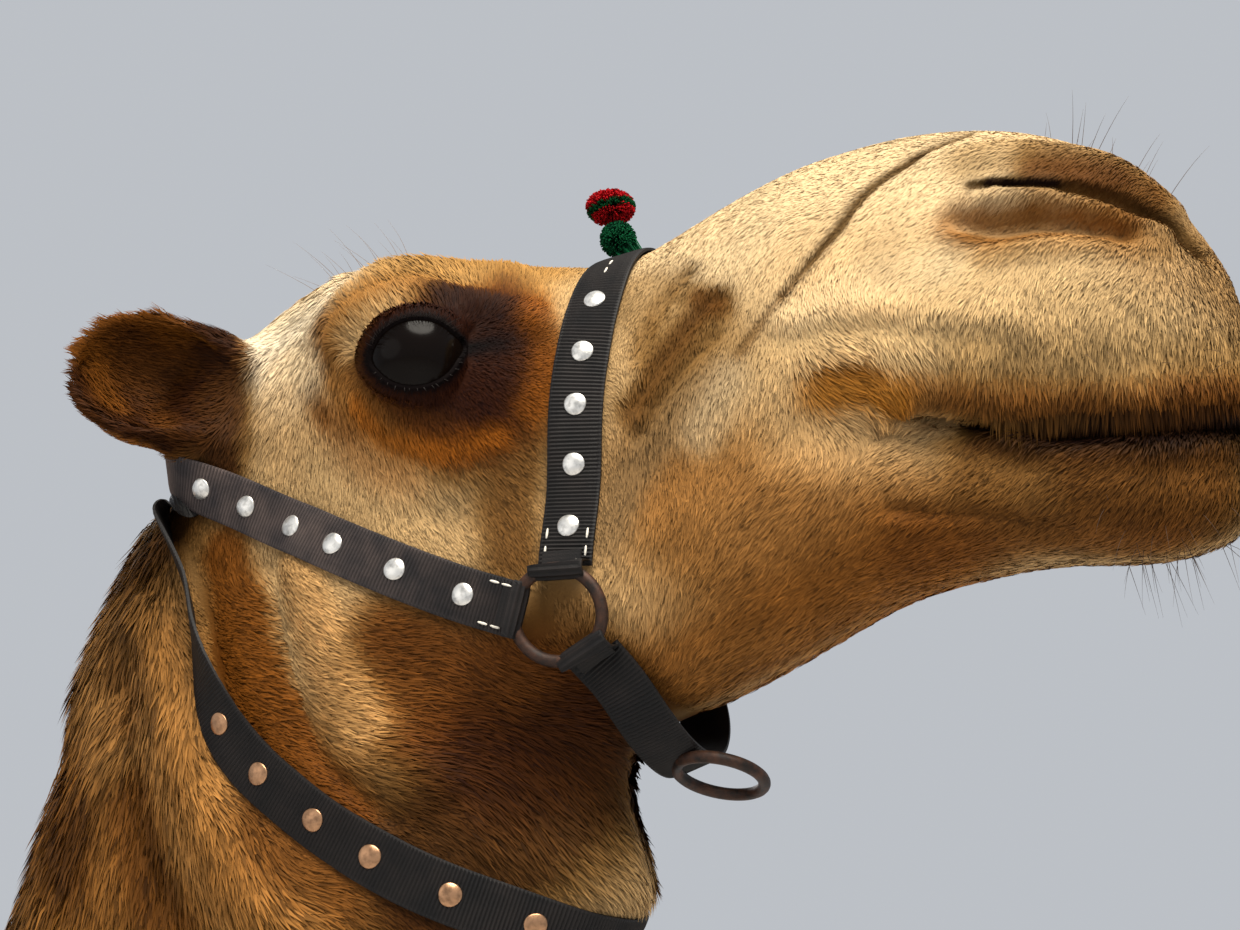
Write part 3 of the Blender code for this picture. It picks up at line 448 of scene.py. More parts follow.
# The openings are cut in the lids, their rims are squared up and turned in against the eyeballs.
bm = bmesh.new()
bm.from_mesh(skin.data)
centres = mirrored(in_head(np.array([f.calc_center_median() for f in bm.faces])))
opening, turn, far, rim = round_eye(centres)
bm.faces.ensure_lookup_table()
gone = [bm.faces[i] for i in np.nonzero((opening < 1) & (far < 40))[0]]
bmesh.ops.delete(bm, geom=gone, context="FACES")
rim_edges = [e for e in bm.edges if e.is_boundary]
rim_verts = list({v for e in rim_edges for v in e.verts})
for vert in rim_verts:
    place, side = half_of(vert)
    _, turn, _, rim = round_eye(place)
    across = FORWARD * np.cos(turn[0]) + UPWARD * np.sin(turn[0])
    spot = EYE + (SIGHT * np.cos(rim[0]) + across * np.sin(rim[0])) * (BALL + LID_THICKNESS)
    vert.co = in_world(spot * side)
made = bmesh.ops.extrude_edge_only(bm, edges=rim_edges)["geom"]
for vert in [g for g in made if isinstance(g, bmesh.types.BMVert)]:
    place, side = half_of(vert)
    out = place[0] - EYE
    spot = EYE + unit(unit(out) * (BALL - 0.4) + SIGHT * 1.2) * (BALL - 0.5)
    vert.co = in_world(spot * side)
bmesh.ops.triangulate(bm, faces=bm.faces[:])
bmesh.ops.recalc_face_normals(bm, faces=bm.faces[:])
bm.to_mesh(skin.data)
bm.free()


# ================================================================ coat
# Short desert hair, sandy with a darker throat and ears, that lies its own way on each part of the body and
# is pressed flat under the straps. It grows in tufts out of the hide, a few millimetres long on the muzzle
# and longer on neck, hump and tail. Hide and hair carry the same markings, among them painted shade in
# folds, hollows, nostrils and mouth, round the eyes and under the jaw, and a painted light on the temple.
bpy.ops.object.select_all(action="DESELECT")


def linear(code):
    """A colour written as six sRGB hex digits, in linear light."""
    value = np.array([int(code[i : i + 2], 16) for i in (0, 2, 4)]) / 255
    return np.where(value <= 0.04045, value / 12.92, ((value + 0.055) / 1.055) ** 2.4)


rng = np.random.default_rng(7)
WAVES = rng.normal(size=(28, 3))
PHASES = rng.uniform(0, 6.283, 28)


def patchy(points, size, seed=0):
    """Soft random patches of about this size in metres, from -1 to 1."""
    waves = WAVES[seed : seed + 9] * (2.2 / size)
    return np.sin(points @ waves.T + PHASES[seed : seed + 9]).sum(1) / 4.5


skin.data.update()
points = points_of(skin.data)
normals = normals_of(skin.data)
corners = np.empty(len(skin.data.polygons) * 3, np.int64)
skin.data.polygons.foreach_get("vertices", corners)
corners = corners.reshape(-1, 3)
place = in_head(points)
half = mirrored(place)
body = mirrored(points * 1000)          # millimetres in the animal's own frame
opening, turn, far, rim = round_eye(half)
on_ear = ear_share(half) * ease(-70, -50, place[:, 0]) * ease(60, 75, place[:, 2])
on_fine = ease(-10, 10, (points - np.array(NECK_CUT)) @ np.array(NECK_RUN) * 1000)

# The markings, painted in this order: colour, line, how far from it the colour is full, how far it fades
# out beyond, and its strength. They are on the right half of the head, in its millimetres.
HEAD_MARKS = [
    ("8f6a40", [(-60, 50, 60), (-20, 60, 20), (20, 76, -60), (60, 84, -140), (150, 60, -210)], 60, 30, 1.0),
    ("f4e3c4", [(112, 48, 160), (135, 50, 176), (165, 50, 182)], 14, 18, 0.9),
    ("ddc294", [(120, 20, 185), (170, 30, 192)], 20, 20, 0.8),
    ("8f6c3c", [(200, 34, 180), (240, 30, 168), (280, 20, 166)], 18, 20, 0.85),
    ("f0d8ae", [(136, 72, 136), (124, 70, 128)], 8, 10, 0.6),
    ("dcc093", [(330, 24, 140), (390, 34, 142), (450, 36, 130)], 24, 26, 0.9),
    ("dcbb88", [(390, 54, 88), (450, 54, 66), (500, 46, 50)], 20, 20, 0.6),
    ("b08a5a", [(280, 60, 20), (340, 54, 10), (385, 48, -8)], 18, 20, 0.6),
    ("724a22", [(310, 58, 20), (325, 56, -4), (360, 50, -24), (400, 40, -44)], 18, 24, 0.75),
    ("8a5a28", [(180, 50, -66), (260, 40, -62), (330, 30, -52), (390, 26, -40)], 16, 22, 0.9),
    ("6a3d15", [(150, 76, -30), (190, 74, -50), (225, 66, -54)], 22, 16, 0.9),
    # Dark hair under the jaw, deepened with painted shade where the jaw's underside meets the throat.
    ("351c0a", [(212, 36, -72), (190, 50, -84), (165, 58, -110), (140, 20, -160)], 26, 30, 0.92),
    ("663c12", [(74, 66, 56), (78, 75, 5), (93, 80, -35), (124, 78, -84)], 10, 8, 0.95),
    ("b88c56", [(118, 73, 40), (122, 77, 0), (133, 79, -42)], 7, 8, 0.85),
    ("5b381a", [(155, 76, -8), (178, 72, -18), (205, 65, -34)], 9, 12, 0.85),
    ("6b4522", [(82, 84, -81), (104, 82, -108)], 12, 14, 0.85),
    ("7a5228", [(-60, 60, -30), (-20, 76, -120), (0, 80, -200)], 26, 26, 0.7),
    ("8a5a26", [(150, 76, 150), (160, 82, 116), (170, 84, 94), (182, 82, 80), (205, 76, 70), (240, 70, 70),
     (262, 64, 92)], 5, 7, 0.8),
    ("9a5f22", [(256, 64, 84), (246, 68, 72)], 7, 9, 0.7),
    # Painted shade under the hood of the nostril.
    ("4d2f14", [(488, 37, 120), (503, 42, 107), (516, 40, 98)], 4, 6, 0.6),
    ("93632c", [(170, 84, 140), (196, 86, 145), (222, 76, 146), (250, 58, 130)], 5, 8, 0.8),
    ("5a330f", [(228, 74, 118), (240, 68, 108), (236, 70, 96)], 6, 7, 0.9),
    ("664f3a", [(138, 72, 121), (145, 76, 106)], 5, 2.5, 0.9),
    ("7d6040", [(150, 77, 100), (158, 80, 91)], 3, 4, 0.6),
    ("5d4630", BEHIND_EYE, 0.9, 1.8, 0.8),
    ("97784e", [(305, 52, 118), (318, 54, 96), (330, 52, 84)], 12, 12, 0.8),
    # Painted shade in the wrinkles that the noseband presses into the hide.
    ("573c20", STRAP_FOLDS[0], 2, 3.5, 0.9),
    ("573c20", STRAP_FOLDS[1], 3.5, 5, 0.95),
    ("573c20", STRAP_FOLDS[2], 2, 4, 0.8),
    ("5d3f20", [(330, 49, 108), (340, 51, 97)], 2, 5, 0.9),
    ("5a3c20", [(235, 68, 60), (222, 64, 37), (222, 67, 12)], 6, 13, 0.85),
    ("3d2410", [(96, 72, 150), (92, 70, 125), (85, 73, 98)], 7, 8, 0.92),
    ("3a2110", [(20, 30, 60), (61, 66, 90), (50, 60, 110)], 8, 14, 0.9),
    ("8a6036", [(-10, 66, 60), (1, 64, 30), (8, 66, 0)], 5, 9, 0.75),
    ("4a2e18", [(-25, 70, -42), (-28, 74, -66), (-50, 60, -20)], 8, 12, 0.7),
    ("7c664c", CHEEK_BAND, 5, 6, 0.8),
    ("e4cfa6", [(372, 54, 84), (400, 54, 86), (440, 55, 80)], 3, 8, 0.35),
    # Painted shade in the hollow below the nostril's roll.
    ("7f4a12", NOSTRIL_HOLLOW, 5, 6, 0.92),
    ("b98f57", NOSTRIL_FOLD, 1.5, 4, 0.6),
    ("a5824f", [(462, 38, 126), (478, 38, 124)], 5, 8, 0.6),
    # Painted shade under the nostril's hood and deep in the back of its hollow.
    ("5a3819", [(486, 43, 110), (500, 44, 104), (515, 39, 94), (527, 33, 84)], 3, 9, 0.9),
    ("6b451d", [(455, 52, 91), (465, 53, 87), (478, 52, 87)], 4, 6, 0.9),
    ("8f6a3c", [(480, 50, 104), (500, 48, 93), (518, 42, 80)], 1, 3, 0.6),
    ("7d5c38", [(524, 36, 56), (538, 22, 50), (546, 6, 40)], 10, 16, 0.6),
    ("94703e", [(440, 52, 34), (480, 52, 20), (515, 40, 10), (538, 20, 4)], 6, 15, 0.65),
    ("5a3412", UPPER_LIP, 3, 8, 0.9),
    ("a56a1e", [(374, 54, 46), (390, 52, 42), (404, 47, 34)], 5, 7, 0.9),
    ("6d4c27", [(440, 44, -12), (480, 44, -26), (515, 32, -42)], 14, 14, 0.85),
    ("4a3018", LOWER_LIP, 1, 5, 0.8),
    ("6f4620", [(400, 42, -38), (440, 36, -52), (490, 28, -60)], 10, 14, 0.85),
    # Painted shade in the folds of the lower lip.
    ("5d3a1b", LIP_FOLDS, 1.5, 4, 0.7),
    ("5a3a1c", [(475, 44, -26), (496, 40, -34), (512, 33, -38)], 8, 12, 0.7),
    ("6b4a2a", [(246, 64, -27), (240, 64, -20)], 8, 8, 0.6),
    # Painted light on the temple, where the hide faces away from the lamps.
    ("dcc096", [(138, 68, 130), (126, 66, 140)], 6, 9, 0.6),
    ("b08c5e", [(118, 72, 118), (120, 76, 96)], 8, 10, 0.6),
    ("cdb083", [(338, 55, 62), (328, 55, 52), (320, 55, 44)], 3, 8, 0.5),
    ("94703f", [(200, 66, 162), (226, 60, 160), (250, 46, 153)], 10, 12, 0.8),
    ("d3ae7c", [(385, 52, 100), (412, 50, 90)], 12, 14, 0.35),
    # Painted shade in the groove under the muzzle's ridge.
    ("b4925f", BELOW_RIDGE[:5], 2, 6, 0.3),
    ("5a3a18", [(371, 54, 54), (386, 53, 51), (400, 50, 46)], 1.0, 2.5, 0.6),
    ("a98a5c", [(478, 52, 42), (500, 48, 34)], 9, 12, 0.45),
]
# Fine marks laid on the skin: painted shade in the bottom of the nose crease, the nostril slit, the mouth and
# the neck's hollow, and a tone along the neck's ridge
FINE_MARKS = [
    ("5e4630", NOSE_CREASE[:8], 1.2, 1.8, 0.9),
    ("6b5138", NOSE_CREASE[7:], 1.0, 2.5, 0.6),
    ("35261a", NOSE_CREASE[2:7], 1.0, 1.6, 0.7),
    ("24140b", NOSTRIL[:3], 0.8, 1.6, 0.95),
    ("1c0e07", MOUTH[3:], 6.0, 4.5, 0.97),
    ("1a0d07", NOSTRIL[1:], 2.8, 2.6, 1.0),
    ("93693a", NECK_RIDGE, 6, 7, 0.8),
    ("4d2e13", NECK_HOLLOW[1:], 8, 10, 0.8),
]
# Marks over the tints of eye and ear; the first two are painted shade deep in the back of the nostril slit
LAST_MARKS = [
    ("1a0d07", [(458, 45, 113), (465, 44, 111)], 1.3, 1.3, 0.9),
    ("1a0d07", [(466, 44, 110.5), (474, 43.5, 106)], 2.4, 1.5, 0.95),
    ("74491c", [(36, 88, 135), (32, 90, 147), (33, 96, 162), (46, 111, 166), (55, 105, 174), (64, 99, 176),
     (72, 91, 172), (73, 76, 170)], 4, 8, 0.8),
    ("7d4a18", [(254, 60, 122), (258, 64, 104), (255, 66, 88), (246, 69, 75)], 4, 6, 0.8),
    ("38200e", [(92, 72, 142), (90, 72, 122), (84, 74, 102)], 6, 8, 0.75),
    ("241206", [(222, 79, 131), (234, 70, 126), (234, 71, 112)], 5, 6, 0.85),
    ("94581a", [(168, 86, 98), (176, 83, 80), (196, 76, 68), (214, 74, 65), (228, 71, 66)], 2.5, 4, 0.8),
]
# The same for the rest of the animal, in millimetres in its own frame.
BODY_MARKS = [
    ("a37b4b", [(-800, 0, 1900), (-480, 0, 1990), (-200, 0, 1850)], 120, 160, 0.9),
    ("7a5630", [(-700, 0, 2050), (-480, 0, 2070), (-300, 0, 2030)], 30, 80, 0.9),
    ("7a5a38", [(740, 0, 1830), (560, 0, 1620), (300, 0, 1560), (180, 0, 1760)], 50, 50, 0.6),
    ("7d5a36", [(560, 60, 1330), (350, 60, 1240), (200, 80, 1130)], 50, 60, 0.7),
    ("c9aa7c", [(-1000, 60, 1180), (-500, 0, 1020), (-80, 0, 980)], 90, 120, 0.6),
    ("6b4a2b", [(-1300, 0, 1560), (-1300, 0, 1200)], 12, 20, 0.6),
]
CALLUSES = [((-35, 160, 600), 52), ((-1090, 165, 715), 46), ((-80, 0, 985), 85), ((-60, 160, 985), 34)]


def tinted(colour, code, cover):
    """The colours brought towards this one, by a share from 0 to 1 for each point."""
    return colour + (linear(code) - colour) * cover[:, None]


def stroke(colour, points, marks, fit=None):
    """Paints the marks one over the other."""
    for code, line, full, fade, strength in marks:
        from_line = to_line(points, fit(line) if fit else line)
        colour = tinted(colour, code, strength * np.exp(-((np.maximum(from_line - full, 0) / fade) ** 2)))
    return colour


colour = np.tile(linear("bd9a69"), (len(points), 1))
colour = stroke(colour, body, BODY_MARKS)
colour = stroke(colour, half, HEAD_MARKS)
colour = stroke(colour, half, FINE_MARKS, laid_on_skin)
EAR_AXIS = unit(np.array([-0.62, 0.76, 0.36]))
facing = normals @ TURN
facing[:, 1] *= np.sign(place[:, 1])
inside_ear = on_ear * ease(-0.1, 0.35, facing @ EAR_FACING)
colour = tinted(colour, "99652a", on_ear)
colour = tinted(colour, "361e0d", inside_ear)
colour = tinted(colour, "6b4420", inside_ear * ease(0.0, 0.8, patchy(points, 0.030, 4)) * 0.6)
colour = tinted(colour, "5b4a3c", ease(0.028, 0.014, points[:, 2]))
# Painted shade in the clefts between the toes.
colour = tinted(colour, "4d3a28", in_cleft(points, CLEFT_HALF_WIDTH * 0.8) * 0.9)
near_eye = ease(70, 50, far)
below_eye = ease(2.6, 2.3, opening) * ease(1.9, 2.1, opening) * ease(0.2, -0.4, np.sin(turn))
colour = tinted(colour, "a8692a", below_eye * near_eye * 0.5)
# Dark hair round the eye, its ring drawn out above, below and in front as painted shade of lids and brow.
colour = tinted(colour, "5a3312", ease(2.2, 1.75, opening - 0.30 * np.cos(turn)) * near_eye * 0.9)
drawn_out = 0.24 * np.cos(turn) + 0.16 * np.abs(np.sin(turn))
colour = tinted(colour, "2e1607", ease(2.0, 1.2, opening - drawn_out) * near_eye)
colour = stroke(colour, half, LAST_MARKS)
colour = tinted(colour, "0d0705", ease(1.22, 1.04, opening) * near_eye)
for (x, y, z), reach in CALLUSES:
    away = np.linalg.norm(body - [x, y, z], axis=1)
    colour = tinted(colour, "6e5c4b", ease(reach, reach * 0.6, away))
on_neck = on_fine * ease(70, 10, place[:, 0]) * (1 - on_ear)
mottle = 1 - 0.30 * on_neck * ease(0.1, 0.9, patchy(points, 0.034, 13)) + 0.10 * patchy(points, 0.05)
mottle += 0.08 * patchy(points, 0.016, 9) + 0.06 * patchy(points, 0.2, 18)
light = ease(0.03, 0.30, colour.mean(1))[:, None]      # dark hair is the redder
colour = colour * ([1.0, 0.84, 0.50] + light * [0.0, 0.16, 0.50])
colour = np.clip(colour * mottle[:, None], 0.002, 0.9)

# The lie of the coat. Each row: a place, the way the hair points there, its length in millimetres, how
# far it stands up (0 flat, 1 upright), and its share of dark hairs.
HEAD_LIE = [
    ((540, 0, 70), (-0.3, 0.3, 0.9), 5, 0.10, 0.15), ((490, 20, 146), (-1, 0.2, 0.1), 6, 0.05, 0.0),
    ((400, 20, 160), (-1, 0.2, 0.1), 8, 0.04, 0.0), ((440, 54, 88), (-1, 0, -0.3), 8, 0.04, 0.0),
    ((500, 50, 60), (-0.6, 0, -0.7), 7, 0.10, 0.08), ((540, 20, 40), (0.2, 0.2, -1), 6, 0.15, 0.28),
    ((470, 54, 30), (-0.25, 0, -1), 9, 0.16, 0.32), ((520, 38, 14), (-0.1, 0.1, -1), 10, 0.20, 0.42),
    ((450, 50, 12), (-0.1, 0.1, -1), 15, 0.16, 0.45), ((500, 46, 0), (-0.1, 0.1, -1), 14, 0.16, 0.50),
    ((384, 54, 44), (0.7, 0, -0.7), 14, 0.22, 0.08), ((410, 50, 44), (0.2, 0, -1), 11, 0.16, 0.12),
    ((350, 55, 50), (-0.5, 0, -0.85), 9, 0.10, 0.15), ((470, 44, -16), (-0.9, 0, -0.35), 8, 0.14, 0.25),
    ((436, 44, -2), (-0.95, 0, -0.3), 8, 0.10, 0.2), ((412, 46, 8), (-0.95, 0, -0.3), 8, 0.10, 0.15),
    ((515, 32, -40), (-0.5, 0, -0.8), 8, 0.18, 0.30), ((420, 46, -10), (-0.9, 0, -0.3), 9, 0.12, 0.12),
    ((350, 50, 0), (-0.7, 0, -0.7), 10, 0.10, 0.14), ((300, 60, 40), (-0.3, 0, -0.95), 9, 0.09, 0.20),
    ((300, 56, 100), (-0.4, 0, -0.9), 7, 0.08, 0.15), ((330, 40, -45), (-0.8, 0, -0.3), 11, 0.12, 0.15),
    ((270, 55, -30), (-0.5, 0, -0.8), 11, 0.10, 0.20), ((262, 64, 84), (0.9, 0, -0.4), 9, 0.10, 0.20),
    ((240, 70, 60), (0.5, 0, -0.8), 9, 0.10, 0.20), ((200, 78, 50), (0.3, 0, -0.95), 9, 0.10, 0.25),
    ((165, 80, 70), (-0.1, 0, -1), 9, 0.10, 0.18), ((220, 72, 20), (0.3, 0, -1), 9, 0.10, 0.28),
    ((140, 76, 60), (-0.2, 0, -1), 9, 0.10, 0.18), ((200, 80, 150), (-0.3, 0.2, 0.9), 12, 0.25, 0.20),
    ((250, 60, 130), (0.2, 0, 0.9), 9, 0.12, 0.20), ((190, 20, 195), (-1, 0, 0.05), 10, 0.12, 0.05),
    ((120, 40, 175), (-1, 0.3, -0.3), 11, 0.12, 0.08), ((110, 66, 120), (-0.4, 0, -0.9), 10, 0.10, 0.15),
    ((100, 70, 70), (-0.2, 0, -1), 11, 0.10, 0.15), ((80, 74, 20), (0.85, 0, -0.45), 15, 0.12, 0.25),
    ((95, 80, -40), (0.9, 0, -0.4), 16, 0.12, 0.25), ((130, 78, 20), (0.7, 0, -0.7), 12, 0.12, 0.22),
    ((160, 80, -10), (0.9, 0, -0.35), 15, 0.12, 0.30), ((170, 78, -55), (0.9, 0, -0.4), 17, 0.12, 0.30),
    ((220, 66, -50), (0.9, 0, -0.3), 16, 0.14, 0.30), ((230, 62, -10), (0.2, 0, -1), 11, 0.12, 0.25),
    ((190, 40, -90), (0.5, -0.3, -0.8), 20, 0.18, 0.30), ((120, 74, -100), (0.8, 0, -0.6), 18, 0.14, 0.30),
    ((130, 60, -170), (0.4, 0, -0.9), 18, 0.16, 0.30), ((40, 76, -20), (-0.15, 0, -1), 16, 0.12, 0.25),
    ((60, 84, -100), (0.1, 0, -1), 16, 0.12, 0.25), ((-10, 70, 0), (-0.4, 0, -0.9), 18, 0.18, 0.35),
    ((10, 80, -100), (-0.2, 0, -1), 18, 0.14, 0.35), ((0, 40, 80), (-0.6, 0.3, -0.7), 22, 0.28, 0.35),
    ((-60, 20, 0), (-0.5, 0.1, -0.8), 24, 0.32, 0.40), ((-90, 30, -100), (-0.4, 0.1, -0.9), 22, 0.28, 0.35),
    ((40, 10, 120), (-0.9, 0.2, 0), 20, 0.35, 0.25),
]
# The same for the rest of the animal, in millimetres in its own frame.
BODY_LIE = [
    ((680, 70, 1600), (-0.6, 0, -0.8), 22, 0.16, 0.25), ((500, 80, 1450), (-1, 0, -0.3), 26, 0.16, 0.25),
    ((300, 100, 1400), (-0.9, 0, -0.5), 28, 0.16, 0.25), ((350, 30, 1260), (-0.7, 0, -0.8), 34, 0.24, 0.25),
    ((100, 200, 1500), (-0.5, 0, -0.9), 26, 0.14, 0.20),
    ((-60, 220, 1250), (-0.4, 0, -0.9), 22, 0.13, 0.18),
    ((60, 100, 1750), (-0.9, 0.2, -0.2), 32, 0.22, 0.25),
    ((-480, 60, 2040), (-0.4, 0.4, -0.4), 38, 0.24, 0.25),
    ((-480, 170, 1880), (-0.5, 0.1, -0.9), 34, 0.18, 0.25),
    ((-480, 300, 1500), (-0.9, 0, -0.45), 20, 0.12, 0.15),
    ((-480, 200, 1080), (-1, 0, -0.1), 20, 0.14, 0.12),
    ((-900, 240, 1550), (-0.7, 0, -0.7), 22, 0.12, 0.15),
    ((-1100, 120, 1700), (-1, 0, -0.4), 22, 0.14, 0.2),
    ((-1200, 150, 1450), (-0.5, 0, -0.9), 20, 0.12, 0.15),
    ((-950, 200, 1200), (-0.2, 0, -1), 18, 0.12, 0.15), ((-30, 170, 1000), (-0.1, 0, -1), 18, 0.12, 0.15),
    ((0, 160, 500), (0, 0, -1), 9, 0.06, 0.12), ((-1050, 160, 500), (0, 0, -1), 9, 0.06, 0.12),
    ((0, 160, 250), (0, 0, -1), 7, 0.05, 0.12), ((-1000, 160, 250), (0, 0, -1), 7, 0.05, 0.12),
    ((0, 160, 60), (0.2, 0, -1), 6, 0.05, 0.15), ((-1000, 160, 60), (0.2, 0, -1), 6, 0.05, 0.15),
    ((-1270, 10, 1350), (0, 0, -1), 30, 0.15, 0.4), ((-1300, 0, 1100), (0, 0, -1), 90, 0.18, 0.8),
]


def blended(points, rows, reach):
    """Takes each point's values from the rows nearest to it."""
    values = np.zeros((len(points), 6))
    total = np.zeros((len(points), 1))
    for spot, way, length, lift, dark in rows:
        weight = 1 / ((((points - spot) ** 2).sum(1) + reach**2) ** 2)[:, None]
        values += weight * [*unit(np.array(way, float)), length, lift, dark]
        total += weight
    return values / total


lie = blended(half, HEAD_LIE, 10)
lie[:, :3] = lie[:, :3] @ TURN.T
lie = lie * on_fine[:, None] + blended(body, BODY_LIE, 60) * (1 - on_fine)[:, None]
# On the ears the hair runs out along the ear. Round the eye it runs outwards.
ear_way = EAR_AXIS @ TURN.T
eye_way = (unit(half - EYE)) @ TURN.T
for way, length, lift, dark, cover in (
    (ear_way, 5, 0.15, 0.15, on_ear), (ear_way, 7.5, 0.30, 0.3, inside_ear),
    (eye_way, 5, 0.10, 0.3, ease(2.0, 1.4, opening) * near_eye),
    (eye_way, 2.2, 0.2, 0.3, ease(1.25, 1.05, opening) * near_eye),
):
    here = np.empty_like(lie)
    here[:, :3], here[:, 3:] = way, [length, lift, dark]
    lie += (here - lie) * cover[:, None]
side = np.where(points[:, 1] < 0, -1.0, 1.0)
lie[:, 1] *= side
swirl = np.stack([patchy(points, 0.05, seed) for seed in (3, 11, 17)], 1)
lie[:, :3] = unit(lie[:, :3]) + 0.18 * swirl
lie[:, :3] -= normals * (lie[:, :3] * normals).sum(1)[:, None]
lie[:, :3] = unit(lie[:, :3])

attribute = skin.data.color_attributes.new("coat_colour", "FLOAT_COLOR", "POINT")
on_nose = on_fine * ease(290, 340, place[:, 0]) * ease(50, 80, place[:, 2])
# Painted shade under the coat: the hide is painted darker than the hair over it, most on head and neck away
# from the nose.
hide_colour = colour * (0.90 - 0.16 * on_fine + 0.16 * on_nose)[:, None]      # darker where hair hides it
attribute.data.foreach_set("color", np.hstack([hide_colour, np.ones((len(points), 1))]).ravel())


def add(tree, kind, settings=None, **links):
    """Adds a node, sets its fields and unlinked sockets, and links the rest."""
    node = tree.nodes.new("ShaderNode" + kind)
    for field, value in (settings or {}).items():
        if field in node.inputs.keys():
            node.inputs[field].default_value = value
        else:
            setattr(node, field, value)
    for socket, source in links.items():
        tree.links.new(source, node.inputs[socket.replace("_", " ")])
    return node


def material(name, **settings):
    """A new material with the shader's sockets set. Returns it, its node tree and its shader."""
    made = bpy.data.materials.new(name)
    made.use_nodes = True
    shader = made.node_tree.nodes["Principled BSDF"]
    for socket, value in settings.items():
        shader.inputs[socket.replace("_", " ")].default_value = value
    return made, made.node_tree, shader


def hair_coloured(name, roughness):
    """A dull finish in the colours painted on the piece."""
    made, tree, shader = material(name, Roughness=roughness, Specular_IOR_Level=0.06)
    painted = add(tree, "VertexColor", {"layer_name": "coat_colour"})
    tree.links.new(painted.outputs["Color"], shader.inputs["Base Color"])
    return made, tree, shader


# Hide: matt skin with a leathery grain of 1.6 mm, coloured as the hair that hides it.
hide_material, tree, shader = hair_coloured("hide under short hair", 0.75)
where = add(tree, "TexCoord")
leather = add(tree, "TexNoise", {"Scale": 625.0, "Detail": 3.0}, Vector=where.outputs["Object"])
raised = add(tree, "Bump", {"Strength": 0.6, "Distance": 0.0006}, Height=leather.outputs["Fac"])
tree.links.new(raised.outputs["Normal"], shader.inputs["Normal"])
skin.data.materials.clear()
skin.data.materials.append(hide_material)
# Hair: dull and a little coarse, each tuft in its own tone.
hair_material = hair_coloured("camel hair", 0.62)[0]

# Which part of the skin each coat piece grows from
centres = points[corners].mean(1)
face_place = mirrored(in_head(centres))
first, second, third = (points[corners[:, k]] for k in range(3))
area = np.linalg.norm(np.cross(second - first, third - first), axis=1) / 2
ear_face = on_ear[corners].mean(1) > 0.5
fine_face = on_fine[corners].mean(1) > 0.5
head_face = fine_face & ((face_place[:, 0] + 0.3 * face_place[:, 2] > 62) & ~ear_face)
muzzle_face = head_face & (face_place[:, 0] > 300)
neck_face = fine_face & ~head_face & ~ear_face
right_side = centres[:, 1] < 0
leg_face = ~fine_face & (centres[:, 2] < 0.985 + 0.10 * (centres[:, 0] < -0.7))
foot_face = leg_face & (centres[:, 2] < 0.17)
tail_face = ~fine_face & (centres[:, 0] < -1.245) & (np.abs(centres[:, 1]) < 0.05) & (centres[:, 2] < 1.50)
trunk_face = ~fine_face & ~leg_face & ~tail_face
eye_open = opening[corners].mean(1)
eye_far = far[corners].mean(1)
bare = (eye_open < 0.99) & (eye_far < 40)
in_nostril = to_line(face_place, laid_on_skin(NOSTRIL)) < 0.9 + 2.5 * ease(462, 482, face_place[:, 0])
from_mouth = to_line(face_place, laid_on_skin(MOUTH[2:]))
in_mouth = from_mouth < 2.4
# Webbing presses the coat flat. Each strap's line is seen from the side, in millimetres from the poll.
STRAP_LINES = {
    "noseband": [(300, 200), (282, 123), (266, 68), (252, 14), (247, -5)],
    "crown": [(20, 160), (50, 107), (92, 73), (145, 34), (190, 3), (226, -18)],
    "throat_strap": [(47, 80), (61, 30), (73, -31), (104, -73), (150, -116), (215, -160)],
    "chin_strap": [(249, -40), (258, -62), (262, -110)],
}
by_strap = np.full(len(points), 99.0)
for strap_name, line in STRAP_LINES.items():
    near = to_line(place * [1, 0, 1], [(x, 0, z) for x, z in line])
    if strap_name == "throat_strap":
        near += 8.5 * ease(-70, -20, place[:, 2])     # it stands on edge here
    by_strap = np.minimum(by_strap, near)
by_strap += 99 * (1 - on_fine) + 99 * ease(0.05, 0.3, on_ear)
lie[:, 3] *= 0.4 + 0.6 * ease(12, 30, by_strap)
lie[:, 4] *= 0.3 + 0.7 * ease(12, 26, by_strap)
lie[:, 3] *= 0.45 + 0.55 * ease(1, 6, to_line(half, laid_on_skin(NOSE_CREASE)))
lie[:, 3] *= 0.35 + 0.65 * ease(3, 9, to_line(half, laid_on_skin(NOSTRIL)))
under_strap = by_strap[corners].mean(1) < 11.5
sole = (centres[:, 2] < 0.020) | (in_cleft(centres, 0.004) > 0.5)
growing = area * ~bare * ~in_nostril * ~in_mouth * ~under_strap * ~sole


